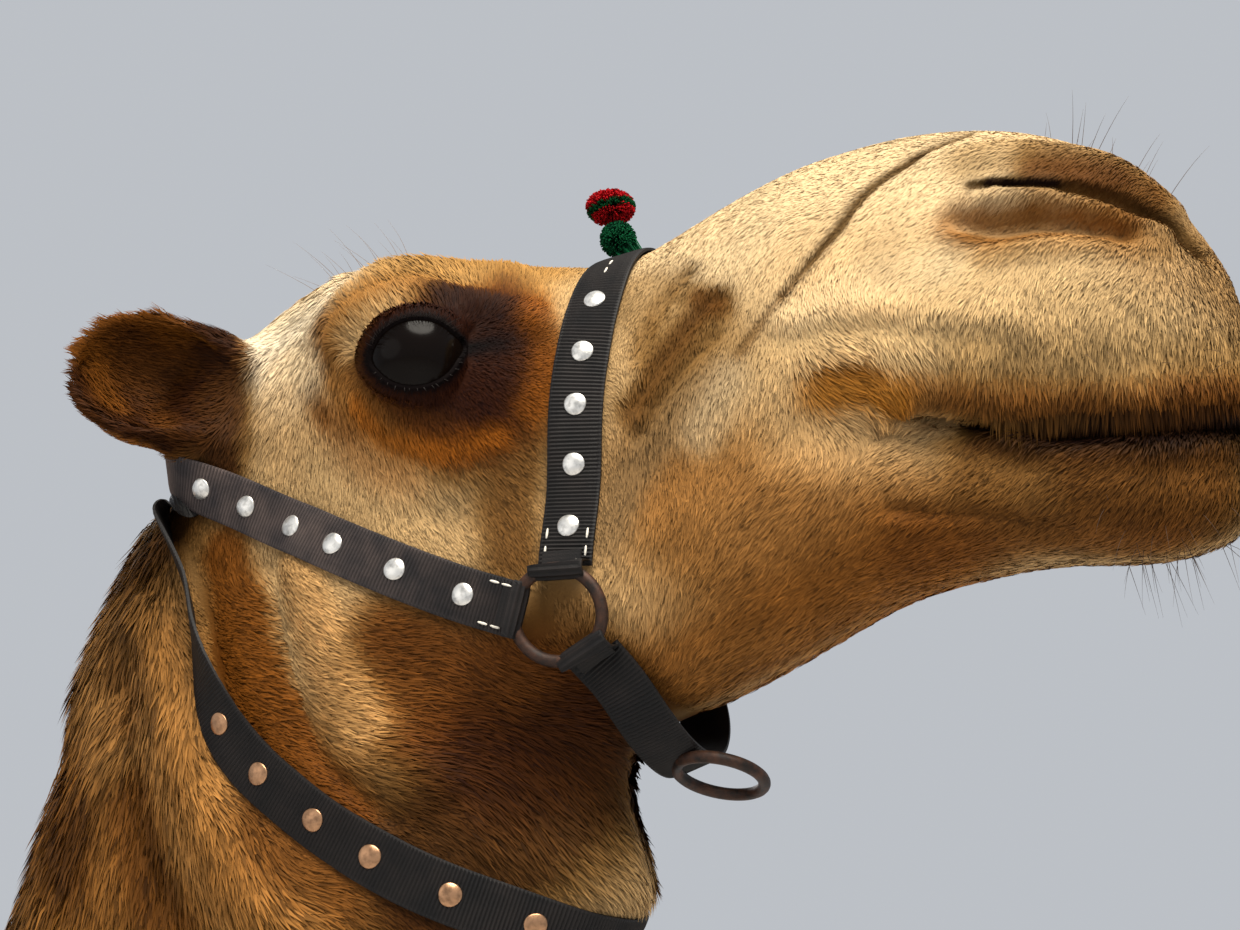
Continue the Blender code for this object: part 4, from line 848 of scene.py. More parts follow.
def grow(name, faces, count, width, seed, lengthen=1.0, contrast=1.0, curl=0.12, fall=0.0):
    """Grows a coat piece: this many tufts over the faces, each a thin blade of three faces lying along the
    coat. Contrast is between light and dark hairs, and fall is how far they hang down instead."""
    rng = np.random.default_rng(seed)
    chance = growing * faces
    chosen = rng.choice(len(corners), count, p=chance / chance.sum())
    u, v = rng.random((2, count))
    flip = u + v > 1
    u, v = np.where(flip, 1 - u, u), np.where(flip, 1 - v, v)
    share = np.stack([1 - u - v, u, v], 1)
    at = corners[chosen]

    def here(values):
        return np.einsum("nk,nkj->nj", share, values[at])

    root, up, way = here(points), unit(here(normals)), here(lie)
    hue = here(colour)
    length = way[:, 3] * 0.001 * rng.uniform(0.65, 1.25, count) * lengthen
    length = np.where(root[:, 2] < 0.03, np.minimum(length, root[:, 2] * 0.5 + 0.001), length)
    lift = way[:, 4] * rng.uniform(0.5, 1.6, count)
    dark = rng.random(count) < way[:, 5]
    waves = np.stack([patchy(root, 0.012, seed) for seed in (2, 8, 15)], 1)
    along = unit(way[:, :3] + rng.normal(0, 0.13, (count, 3)) + curl * waves)
    along = unit(along - up * (along * up).sum(1)[:, None])
    if fall:
        along = unit(along * (1 - fall) + (up * 0.35 - [0, 0, 1]) * fall)
    across = np.cross(along, up)
    across = unit(across + up * rng.normal(0, 0.28, count)[:, None])
    half_width = width / 2 * rng.uniform(0.7, 1.3, count) * np.sqrt(way[:, 3] / 10)
    rise = lift * length
    base = root - up * 0.0003
    middle = root + along * (length * 0.5)[:, None] + up * (rise * 0.62 + 0.0004)[:, None]
    tip = root + along * length[:, None] + up * (rise * 0.85 + 0.0002)[:, None]
    blade = np.stack([
        base - across * half_width[:, None], base + across * half_width[:, None],
        middle - across * (half_width * 0.8)[:, None], middle + across * (half_width * 0.8)[:, None], tip,
    ], 1)
    blade[:, :, 2] = np.maximum(blade[:, :, 2], 0.0003)
    shade = np.exp(rng.normal(0, 0.15 * contrast, count))
    shade *= np.where(dark, 1 - contrast * rng.uniform(0.25, 0.6, count), 1.0)
    shade *= 1 + 0.14 * contrast * patchy(root, 0.006, 5)
    # Painted shade at the root of each tuft and painted light at its tip, both scaled by the contrast.
    fade = 1 + contrast * np.array([-0.36, -0.36, -0.05, -0.05, 0.22])
    tone = np.clip(hue[:, None, :] * shade[:, None, None] * fade[None, :, None], 0.002, 0.95)
    mesh = bpy.data.meshes.new(name)
    mesh.vertices.add(count * 5)
    mesh.vertices.foreach_set("co", blade.ravel())
    pattern = np.array([0, 1, 3, 0, 3, 2, 2, 3, 4])
    loops = (np.arange(count)[:, None] * 5 + pattern[None, :]).ravel()
    mesh.loops.add(len(loops))
    mesh.loops.foreach_set("vertex_index", loops)
    mesh.polygons.add(count * 3)
    mesh.polygons.foreach_set("loop_start", np.arange(count * 3) * 3)
    mesh.polygons.foreach_set("use_smooth", np.ones(count * 3, bool))
    mesh.update()
    layer = mesh.color_attributes.new("coat_colour", "FLOAT_COLOR", "POINT")
    layer.data.foreach_set("color", np.concatenate([tone, np.ones((count, 5, 1))], 2).ravel())
    spread = unrolled(root, name)
    small = np.array([[-0.0015, -0.0015], [0.0015, -0.0015], [-0.0012, 0.0], [0.0012, 0.0], [0.0, 0.0015]])
    patch = spread[:, None, :] + small[None, :, :]
    uv = mesh.uv_layers.new(name="OFBake")
    uv.data.foreach_set("uv", patch.reshape(-1, 2)[loops].ravel())
    # Each hair is lit as the hide under it is, and only a little by its own slant.
    edgewise = np.array([-1.0, 1.0, -1.0, 1.0, 0.0])[None, :, None] * across[:, None, :]
    own = unit(np.cross(across, along))[:, None, :] + 0.25 * edgewise
    lit = unit(up[:, None, :] + 0.35 * own + rng.normal(0, 0.07, (count, 1, 3)))
    mesh.normals_split_custom_set_from_vertices(lit.reshape(-1, 3).tolist())
    piece = new_object(name, mesh)
    mesh.materials.append(hair_material)
    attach(piece, "root")
    return piece


SPINES = {
    "head": [(560, 60), (300, 50), (60, 60)],
    "body": [(745, 1745), (560, 1450), (300, 1400), (0, 1420), (-500, 1450), (-1320, 1400)],
}


def unrolled(root, name):
    """Where each root lies on the skin laid out flat: along the spine and round it, from 0 to 1."""
    if "leg" in name or "tail" in name:
        part = (root[:, 0] < -0.7) * 2 + (root[:, 1] < 0)
        middle = np.where(root[:, 0] < -0.7, -0.99, 0.0)
        round_it = np.arctan2(np.abs(root[:, 1]) - 0.16, root[:, 0] - middle) / (2 * np.pi) + 0.5
        flat = np.stack([(part + 0.02 + 0.96 * round_it) / 4, root[:, 2] / 1.6], 1)
    elif "ear" in name:
        spot = mirrored(in_head(root))
        out = spot - [70, 78, 140]
        cross = np.cross(EAR_AXIS, EAR_FACING)
        round_it = np.arctan2(out @ cross, out @ EAR_FACING) / (2 * np.pi) + 0.5
        side = (root[:, 1] < 0)
        flat = np.stack([(side + 0.02 + 0.96 * round_it) / 2, (out @ EAR_AXIS + 60) / 120], 1)
    else:
        kind = "body" if name.startswith("body") else "head"
        spot = mirrored(root * 1000) if kind == "body" else mirrored(in_head(root))
        if "neck" in name:
            along = -spot[:, 2]
            round_it = np.arctan2(spot[:, 1], spot[:, 0] - 40)
        else:
            spine = np.array(SPINES[kind], float)
            along = -spot[:, 0]
            level = np.interp(-spot[:, 0], -spine[:, 0], spine[:, 1])
            round_it = np.arctan2(spot[:, 1], spot[:, 2] - level)
        along = (along - along.min()) / (along.max() - along.min())
        flat = np.stack([along, round_it / np.pi], 1)
    return 0.01 + 0.98 * np.clip(flat, 0, 1)


low_face = face_place[:, 2] < np.where(face_place[:, 0] > 300, 62, 45)
lip_level = np.interp(face_place[:, 0], [p[0] for p in MOUTH], [p[2] for p in MOUTH])
fringe_face = head_face & (from_mouth < 10) & (face_place[:, 2] > lip_level + 1.5) & (face_place[:, 0] > 420)
coat = [
    grow("nose_coat_right", muzzle_face & ~low_face & right_side, 54000, 0.0008, 11, 0.58, 0.28),
    grow("lip_coat_right", muzzle_face & low_face & right_side, 62000, 0.0010, 12, 0.72, 0.9),
    grow("brow_coat_right", head_face & ~muzzle_face & ~low_face & right_side, 47000, 0.0010, 13, 0.75, 0.7),
    grow("cheek_coat_right", head_face & ~muzzle_face & low_face & right_side, 60000, 0.0011, 14, 0.80, 0.85),
    grow("neck_coat_right", neck_face & right_side, 56000, 0.0013, 15, 0.9),
    grow("muzzle_coat_left", muzzle_face & ~right_side, 37000, 0.0013, 22, 0.70, 0.65),
    grow("face_coat_left", head_face & ~muzzle_face & ~right_side, 35000, 0.0014, 23, 0.80, 0.8),
    grow("neck_coat_left", neck_face & ~right_side, 21000, 0.0020, 16),
    grow("lip_fringe", fringe_face, 9000, 0.0010, 26, 0.85, 1.0, 0.2, 0.8),
    grow("ear_coat", ear_face, 26000, 0.0010, 17, 1.0, 0.75),
    grow("body_coat_right", trunk_face & right_side, 28000, 0.0044, 18, 1.0, 0.36),
    grow("body_coat_left", trunk_face & ~right_side, 22000, 0.0046, 19, 1.0, 0.36),
    grow("leg_coat", leg_face & ~foot_face, 24000, 0.0032, 20, 1.0, 0.35),
    grow("leg_coat_feet", foot_face, 12000, 0.0022, 24, 1.0, 0.4),
    grow("tail_coat", tail_face, 6000, 0.0040, 21),
]
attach(skin, "root")
skin.data.polygons.foreach_set("use_smooth", [True] * len(skin.data.polygons))
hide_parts(*sorted(set(FLESH_FINE + FLESH_COARSE) - {"eye_left", "eye_right"}))


# ================================================================ eyes
# A wet dark-brown ball behind the lids on either side, looking out and a little forward and down. The
# pupil can't be told from the iris.
# Wet cornea over a dark iris: smooth and nearly black, with one soft bright highlight.
wet_eye_material = material("wet eye", Base_Color=(*linear("0c0705"), 1), Roughness=0.16,
                            Specular_IOR_Level=0.09)[0]
for side_name, centre in eye_ball.items():
    bpy.ops.mesh.primitive_uv_sphere_add(segments=48, ring_count=32, radius=EYE_RADIUS, location=(0, 0, 0))
    ball = bpy.context.active_object
    ball.name = "eyeball_" + side_name
    side = 1 if side_name == "left" else -1
    sight = head_turn @ Vector((SIGHT[0], side * SIGHT[1], SIGHT[2]))
    turn_to = Vector((0, 0, 1)).rotation_difference(sight).to_matrix().to_4x4()
    ball.data.transform(Matrix.Translation(centre) @ turn_to)
    bpy.ops.object.shade_smooth()
    ball.data.materials.append(wet_eye_material)
    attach(ball, "root")
    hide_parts("eye_" + side_name)


# ================================================================ webbing of the halter
# Noseband, crown piece, chin strap and throat strap of ribbed black nylon webbing 25 mm wide. They lie on
# the coat, a little sunk in. Their ends are folded round the wire of the cheek rings, and those of the
# throat strap are tucked under the crown piece.
WEBBING_WIDTH = 25.0             # millimetres, as all sizes of the halter are
WEBBING_THICKNESS = 1.7
RIB_PITCH = 1.8
RIB_HEIGHT = 0.40
COAT_UNDER_STRAP = 1.3
STRAP_STEP = 2.0                 # from one point of a strap's path to the next
WIRE_RADIUS = 2.8
CHIN_SLACK = 21.0
THROAT_STRAP_TURN = math.radians(54)
FOLDED_IN = 16                   # how much of a strap's end is gathered in to pass the ring
skin.data.update()
hide = BVHTree.FromPolygons(points.tolist(), corners[on_ear[corners].max(1) < 0.02].tolist())


def run_of(path):
    """How far along the path each of its points is."""
    return np.concatenate([[0], np.cumsum(np.linalg.norm(np.diff(path, axis=0), axis=1))])


def read_off(values, run, at):
    """The values where the run reaches these distances."""
    return np.stack([np.interp(at, run, values[:, k]) for k in range(3)], 1)


def evenly(path):
    """The same path with its points a step apart."""
    run = run_of(path)
    return read_off(path, run, np.linspace(0, run[-1], int(round(run[-1] / STRAP_STEP)) + 1))


def softened(values, passes):
    """Evens out a row of values between its ends."""
    for _ in range(passes):
        values[1:-1] = 0.5 * values[1:-1] + 0.25 * (values[:-2] + values[2:])
    return values


def one_side(line, side):
    """A strap's line, drawn as seen from the side, thrown on that side of the skin."""
    found = []
    for x, z in curve_through(line, 24):
        start = Vector(in_world([x, side * 500, z]))
        hit = hide.ray_cast(start, Vector((0, -side, 0)))[0]
        if hit is not None and (hit.y - ORIGIN[1]) * side > 0:
            found.append(in_head(np.array(hit)))
    return np.array(found)


def lay(path, passes=12):
    """Draws a path tight over the skin, evenly spaced, with the way out of the skin at each point."""
    path = evenly(path)
    for _ in range(passes):
        path = softened(path, 1)
        path = np.array([in_head(np.array(hide.find_nearest(Vector(p))[0])) for p in in_world(path)])
    path = evenly(path)
    out = np.array([hide.find_nearest(Vector(p))[1] for p in in_world(path)]) @ TURN
    out = unit(softened(out, 14))
    tangent = unit(np.gradient(path, axis=0))
    out = unit(out - tangent * (out * tangent).sum(1)[:, None])
    across = np.cross(tangent, out)
    # Lift the strap where its edges or middle would cut into the skin.
    lift = np.zeros(len(path))
    above = 12.0
    for i, (spot, outward, sideways) in enumerate(zip(path, out, across)):
        for edge in (-12, -6, 0, 6, 12):
            start = Vector(in_world(spot + sideways * edge + outward * above))
            hit, _, _, far = hide.ray_cast(start, Vector(-outward @ TURN.T))
            if hit is not None:
                lift[i] = max(lift[i], above - far * 1000)
    for _ in range(3):
        lift[1:-1] = np.maximum(lift[1:-1], np.maximum(lift[:-2], lift[2:]) * 0.7)
    lift = softened(lift, 10)
    return path + out * (lift + COAT_UNDER_STRAP)[:, None], out


class Ring:
    """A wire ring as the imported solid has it: its middle, its axis and its radius."""

    def __init__(self, node):
        corners = in_head(points_of(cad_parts[node].data))
        self.middle = (corners.max(0) + corners.min(0)) / 2
        self.axis = np.linalg.svd(corners - corners.mean(0), full_matrices=False)[2][2]
        flat = corners - self.middle
        flat = flat - np.outer(flat @ self.axis, self.axis)
        self.radius = np.linalg.norm(flat, axis=1).max() - WIRE_RADIUS

    def wire_toward(self, spot):
        """The place on the wire nearest to a spot, and the way out to it from the ring's middle."""
        spoke = spot - self.middle
        spoke = unit(spoke - self.axis * (spoke @ self.axis))
        return self.middle + spoke * self.radius, spoke


rings = {side: Ring("halter_cheek_ring_" + side) for side in ("left", "right")}
chin_ring = Ring("halter_chin_ring")


def folded(path, out, ring):
    """Leads the strap's end over the ring's wire, round it and back under itself."""
    wire, _ = ring.wire_toward(path[-8])
    ahead = unit(wire - path[-8] - out[-8] * ((wire - path[-8]) @ out[-8]))
    high = unit(out[-8] - ahead * (out[-8] @ ahead))
    near = np.linalg.norm(path - wire, axis=1) > 11
    path, out = path[near], out[near]
    over = WIRE_RADIUS + 0.4
    turn_points, turn_outs = [], []
    for angle in np.radians(np.linspace(100, -95, 22)):
        way = high * math.sin(angle) + ahead * math.cos(angle)
        turn_points.append(wire + way * over)
        turn_outs.append(way)
    lead = curve_through([path[-2], path[-1], turn_points[0], turn_points[1]], 8)[8:-8]
    leads = [unit(out[-1] * (1 - t) + turn_outs[0] * t) for t in np.linspace(0, 1, len(lead))]
    back = [turn_points[-1] - ahead * t for t in np.linspace(1.5, 9, 5)]
    path = np.vstack([path, lead[1:], turn_points[1:], back])
    out = np.vstack([out, leads[1:], turn_outs[1:], [turn_outs[-1]] * 5])
    return path, out


def closed_mesh(name, points, faces):
    """A mesh in world metres with its faces turned outwards."""
    mesh = bpy.data.meshes.new(name)
    mesh.from_pydata(points.tolist(), [], faces)
    bm = bmesh.new()
    bm.from_mesh(mesh)
    bmesh.ops.recalc_face_normals(bm, faces=bm.faces[:])
    bm.to_mesh(mesh)
    bm.free()
    return mesh


def webbing(name, path, out, taper, dust_and_sheen):
    """The ribbed band along a path. Taper is how many millimetres at each end are gathered in."""
    run = run_of(path)
    count = int(run[-1] / (RIB_PITCH / 2))
    at = np.linspace(0, run[-1], count)
    path = read_off(path, run, at)
    out = unit(read_off(out, run, at))
    tangent = unit(np.gradient(path, axis=0))
    across = unit(np.cross(tangent, out))
    wide = np.ones(count)
    for end, gathered in ((at, taper[0]), (at[-1] - at, taper[1])):
        if gathered:
            wide *= 0.72 + 0.28 * ease(gathered * 0.45, gathered, end)
    columns = np.array([-1, -0.94, -0.86, -0.6, -0.3, 0, 0.3, 0.6, 0.86, 0.94, 1])
    on_rib = np.arange(count) % 2 == 0
    rib = np.where(on_rib, RIB_HEIGHT, -RIB_HEIGHT * 0.3)
    rows = []
    for column in columns:
        edge = abs(column)
        high = WEBBING_THICKNESS + rib * (0.3 if edge > 0.9 else 1.0) - (0.5 if edge == 1 else 0)
        high = high - 0.25 * (abs(edge - 0.90) < 0.05)
        sideways = across * (column * WEBBING_WIDTH / 2 * wide)[:, None]
        rows.append(path + sideways + out * np.reshape(high, (-1, 1)))
    for column in (1, 0, -1):
        rows.append(path + across * (column * WEBBING_WIDTH / 2 * wide)[:, None])
    grid = in_world(np.stack(rows, 1))
    n = grid.shape[1]
    i, j = np.meshgrid(np.arange(count - 1), np.arange(n), indexing="ij")
    k = (j + 1) % n
    quads = np.stack([i * n + j, i * n + k, (i + 1) * n + k, (i + 1) * n + j], -1).reshape(-1, 4).tolist()
    quads.append(list(range(n))[::-1])
    quads.append([(count - 1) * n + c for c in range(n)])
    mesh = closed_mesh(name, grid.reshape(-1, 3), quads)
    # Dust and painted sheen: the strap is painted lighter towards its middle by this much, and painted shade
    # darkens the hollows between the ribs.
    dust_and_sheen_tone = 1 + dust_and_sheen * np.sin(np.pi * at / at[-1])
    rib_shade_and_sheen = (np.where(on_rib, 1.0, 0.35) * dust_and_sheen_tone)[:, None] * np.ones(n)
    layer = mesh.color_attributes.new("rib_shade", "FLOAT_COLOR", "POINT")
    layer.data.foreach_set("color", np.repeat(rib_shade_and_sheen.ravel(), 4))
    return new_object(name, mesh), (path, out, tangent, across, at)


# Black nylon gone grey in soft patches of about 17 mm of dust and painted sheen, with painted shade between
# the ribs and a weave of 0.7 mm threads that breaks up its shine. The crown piece is painted lighter towards
# its middle.
nylon_material, tree, shader = material("black nylon webbing", Roughness=0.6, Specular_IOR_Level=0.25)
where = add(tree, "TexCoord")
dust_and_sheen = add(tree, "TexNoise", {"Scale": 60.0, "Detail": 4.0}, Vector=where.outputs["Object"])
dust_and_sheen_tone = add(tree, "ValToRGB", Fac=dust_and_sheen.outputs["Fac"])
for element, level, code in zip(dust_and_sheen_tone.color_ramp.elements, (0.35, 0.75), ("0e0c0d", "231d1b")):
    element.position = level
    element.color = (*linear(code), 1)
ribs = add(tree, "VertexColor", {"layer_name": "rib_shade"})
shaded = add(tree, "Mix", {"data_type": "RGBA", "blend_type": "MULTIPLY"})
shaded.inputs[0].default_value = 1.0
tree.links.new(dust_and_sheen_tone.outputs["Color"], shaded.inputs[6])
tree.links.new(ribs.outputs["Color"], shaded.inputs[7])
tree.links.new(shaded.outputs[2], shader.inputs["Base Color"])
thread = add(tree, "TexNoise", {"Scale": 1400.0, "Detail": 2.0}, Vector=where.outputs["Object"])
woven = add(tree, "Bump", {"Strength": 0.5, "Distance": 0.0003}, Height=thread.outputs["Fac"])
tree.links.new(woven.outputs["Normal"], shader.inputs["Normal"])

routes = {}
for strap_name, line in STRAP_LINES.items():
    if strap_name == "throat_strap":
        line = [(64, 92), (53, 89)] + line        # its ends tuck under the crown strap
    left, right = one_side(line, 1), one_side(line, -1)
    over_the_top = strap_name in ("noseband", "crown")
    whole = np.vstack([right[::-1], left] if over_the_top else [right, left[::-1]])
    if strap_name == "chin_strap":
        path, out = lay(whole, 4)
        sag = np.sin(np.pi * np.linspace(0, 1, len(path))) ** 2
        path = path + out * (CHIN_SLACK * sag)[:, None]
    else:
        path, out = lay(whole)
    if strap_name == "throat_strap":
        # Up behind the ears it stands on edge in the groove of the neck, facing back.
        steps = np.arange(len(path)) * STRAP_STEP
        from_end = np.minimum(steps, steps[-1] - steps)
        turned = THROAT_STRAP_TURN * (ease(185, 70, from_end) * ease(6, 26, from_end))[:, None]
        tangent = unit(np.gradient(path, axis=0))
        backward = np.cross(tangent, out)
        backward *= np.where(backward[:, :1] > 0, -1.0, 1.0)
        path = path + out * (10.0 * np.sin(turned) - 1.6 * ease(22, 10, from_end)[:, None])
        out = out * np.cos(turned) + backward * np.sin(turned)
        ends = (0, 0)
    else:
        ends = (FOLDED_IN, FOLDED_IN)
        for _ in range(2):
            ring = rings["left"] if path[-1][1] > 0 else rings["right"]
            path, out = folded(path, out, ring)
            path, out = path[::-1], out[::-1]
    # Dust and a painted sheen of sky light make the crown piece lighter over the top of the head.
    dust_and_sheen = 8 if strap_name == "crown" else 0
    strap, route = webbing("halter_" + strap_name + "_webbing", path, out, ends, dust_and_sheen)
    strap.data.materials.append(nylon_material)
    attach(strap, "root")
    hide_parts("halter_" + strap_name)
    routes[strap_name] = route


# ================================================================ rings of the halter
# Two cheek rings and a chin ring, each bent from 5.6 mm steel wire and welded shut. The cheek rings are held
# by the folds of the webbing round them, and the chin ring hangs at the bottom of the chin strap.


def mottled(name, dark, light, grain, relief, **settings):
    """A finish in fine blotches of a dark and a light tone, each full at its level, with its relief."""
    made, tree, shader = material(name, **settings)
    where = add(tree, "TexCoord")
    blotches = add(tree, "TexNoise", grain, Vector=where.outputs["Object"])
    tones = add(tree, "ValToRGB", Fac=blotches.outputs["Fac"])
    for element, (level, colour) in zip(tones.color_ramp.elements, (dark, light)):
        element.position = level
        element.color = (*colour, 1)
    tree.links.new(tones.outputs["Color"], shader.inputs["Base Color"])
    raised = add(tree, "Bump", relief, Height=blotches.outputs["Fac"])
    tree.links.new(raised.outputs["Normal"], shader.inputs["Normal"])
    return made


# Rust: brown and black in blotches of 5 to 6 mm over dull metal, a little pitted.
rusty_material = mottled("rusted steel wire", (0.35, linear("160e0a")), (0.70, linear("4a2c1b")),
                         {"Scale": 180.0, "Detail": 5.0, "Roughness": 0.65},
                         {"Strength": 0.6, "Distance": 0.0005}, Roughness=0.6, Metallic=0.35)
wires = {"cheek_ring_left": rings["left"], "cheek_ring_right": rings["right"], "chin_ring": chin_ring}
for ring_name, ring in wires.items():
    bpy.ops.object.select_all(action="DESELECT")
    bpy.ops.mesh.primitive_torus_add(
        major_segments=72, minor_segments=16, major_radius=ring.radius / 1000, minor_radius=WIRE_RADIUS / 1000
    )
    wire = bpy.context.active_object
    wire.name = "halter_" + ring_name + "_wire"
    upright = Vector((0, 0, 1)).rotation_difference(Vector(TURN @ ring.axis)).to_matrix().to_4x4()
    wire.data.transform(Matrix.Translation(Vector(in_world(ring.middle))) @ upright)
    bpy.ops.object.shade_smooth()
    wire.data.materials.append(rusty_material)
    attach(wire, "root")
    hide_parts("halter_" + ring_name)


# ================================================================ rivets
# Domed tubular rivets, nickel-plated on noseband and crown piece and copper on the throat strap, set through
# the webbing by hand and so a little out of true.
RIVET_PROFILE = [                # radius and height in millimetres, from the top of the dome down
    (0, 1.75), (1.4, 1.7), (2.7, 1.5), (3.8, 1.15), (4.6, 0.8), (5.0, 0.6), (5.2, 0.3), (5.0, -0.3),
]
RIVET_CORNERS = 28
RIVETS = {                       # how far along the strap from each end, in millimetres
    "noseband": (52, 81, 108, 133, 162), "crown": (58, 93, 129, 157, 188, 216),
    "throat_strap": (142, 174, 209, 240, 279, 318),
}


def tube_faces(first, rings, around):
    """Four-sided faces between rings of corners that follow one another from the first corner."""
    faces = []
    for ring_number in range(rings - 1):
        a, b = first + ring_number * around, first + (ring_number + 1) * around
        for i in range(around):
            j = (i + 1) % around
            faces.append((a + i, b + i, b + j, a + j))
    return faces


def rivet_at(route, at):
    """A place on top of the webbing, with the ways out, along and across there."""
    path, out, tangent, across, run = route
    i = int(np.searchsorted(run, at).clip(1, len(run) - 2))
    return path[i] + out[i] * WEBBING_THICKNESS, out[i], tangent[i], across[i]


def worn_metal(name, code):
    """Bright stamped metal, tarnished in spots of about 3 mm and a little dented."""
    return mottled(name, (0.3, linear(code) * 0.55), (0.55, linear(code)), {"Scale": 350.0, "Detail": 4.0},
                   {"Strength": 0.35, "Distance": 0.0004}, Metallic=0.85, Roughness=0.32)


def rivets(name, spots, finish):
    """Domed heads with a narrow rim, each turned a little out of true."""
    rng = np.random.default_rng(31)
    around = np.linspace(0, 2 * np.pi, RIVET_CORNERS, endpoint=False)
    verts, faces = [], []
    for spot, out, tangent, across in spots:
        lean = rng.normal(0, 0.05, 2)
        up = unit(out + tangent * lean[0] + across * lean[1])
        first = len(verts)
        verts.append(spot + up * RIVET_PROFILE[0][1])
        for radius, height in RIVET_PROFILE[1:]:
            for a in around:
                wobble = 1 + 0.02 * math.sin(3 * a + lean[0] * 90)
                sideways = (tangent * math.cos(a) + across * math.sin(a)) * radius * wobble
                verts.append(spot + sideways + up * height)
        n = RIVET_CORNERS
        faces += [(first, first + 1 + i, first + 1 + (i + 1) % n) for i in range(n)]
        faces += tube_faces(first + 1, len(RIVET_PROFILE) - 1, n)
        faces.append([len(verts) - n + i for i in range(n)][::-1])
    mesh = closed_mesh(name, in_world(verts), faces)
    mesh.polygons.foreach_set("use_smooth", [True] * len(mesh.polygons))
    obj = new_object(name, mesh)
    mesh.materials.append(finish)
    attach(obj, "root")


nickel_material = worn_metal("nickel-plated steel", "efece6")
copper_material = worn_metal("copper", "b98d6a")
for strap_name, distances in RIVETS.items():
    route = routes[strap_name]
    total = route[4][-1]
    spots = [rivet_at(route, at) for distance in distances for at in (distance, total - distance)]
    finish = copper_material if strap_name == "throat_strap" else nickel_material
    rivets("halter_" + strap_name + "_rivets", spots, finish)


# ================================================================ stitching
# White cotton thread in short dashes, which holds the folded ends of noseband and crown piece down on their
# straps and binds the pompom's cord to the noseband.
STITCH_PROFILE = ((-0.5, 0.2), (-0.4, 0.75), (-0.1, 1.0), (0.1, 1.0), (0.4, 0.75), (0.5, 0.2))
STITCH_LENGTH = 5.0
STITCH_CORNERS = 6


def stitches(name, dashes):
    """Short bars of thread, each lying on the webbing."""
    verts, faces = [], []
    for spot, out, along in dashes:
        across = np.cross(along, out)
        first = len(verts)
        for t, thick in STITCH_PROFILE:
            for a in np.linspace(0, 2 * np.pi, STITCH_CORNERS, endpoint=False):
                round_it = across * math.cos(a) * 0.6 + out * math.sin(a) * 0.45
                verts.append(spot + along * t * STITCH_LENGTH + round_it * thick + out * 0.2)
        faces += tube_faces(first, len(STITCH_PROFILE), STITCH_CORNERS)
        faces.append([first + i for i in range(STITCH_CORNERS)][::-1])
        faces.append([len(verts) - STITCH_CORNERS + i for i in range(STITCH_CORNERS)])
    mesh = closed_mesh(name, in_world(verts), faces)
    mesh.polygons.foreach_set("use_smooth", [True] * len(mesh.polygons))
    obj = new_object(name, mesh)
    # Cotton: matt and off-white.
    cotton = material("white cotton thread", Base_Color=(*linear("ded8cc"), 1), Roughness=0.9)[0]
    mesh.materials.append(cotton)
    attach(obj, "root")


dashes = []
for strap_name, ends in (("noseband", (24, 32, 40, 48)), ("crown", (24, 31, 38, 45))):
    route = routes[strap_name]
    total = route[4][-1]
    for from_end in ends:
        for at in (from_end, total - from_end):
            spot, out, tangent, across = rivet_at(route, at)
            for edge in (-9.5, 9.5):
                dashes.append((spot + across * edge, out, tangent))
noseband = routes["noseband"]
for from_middle in (37, 45):
    for sign in (-1, 1):
        dashes.append(rivet_at(noseband, noseband[4][-1] / 2 + sign * from_middle)[:3])
stitches("halter_stitching", dashes)


# ================================================================ pompom
# Two balls of cut wool yarn on top of the noseband, a red one with a green belt over a green one. Each is a
# bundle of strands tied at the middle and clipped round, and a few strands bind the green one to the webbing.
STRANDS_IN_A_BALL = 1500
STRANDS_IN_THE_CORD = 90
YARN_RADIUS = 0.00045


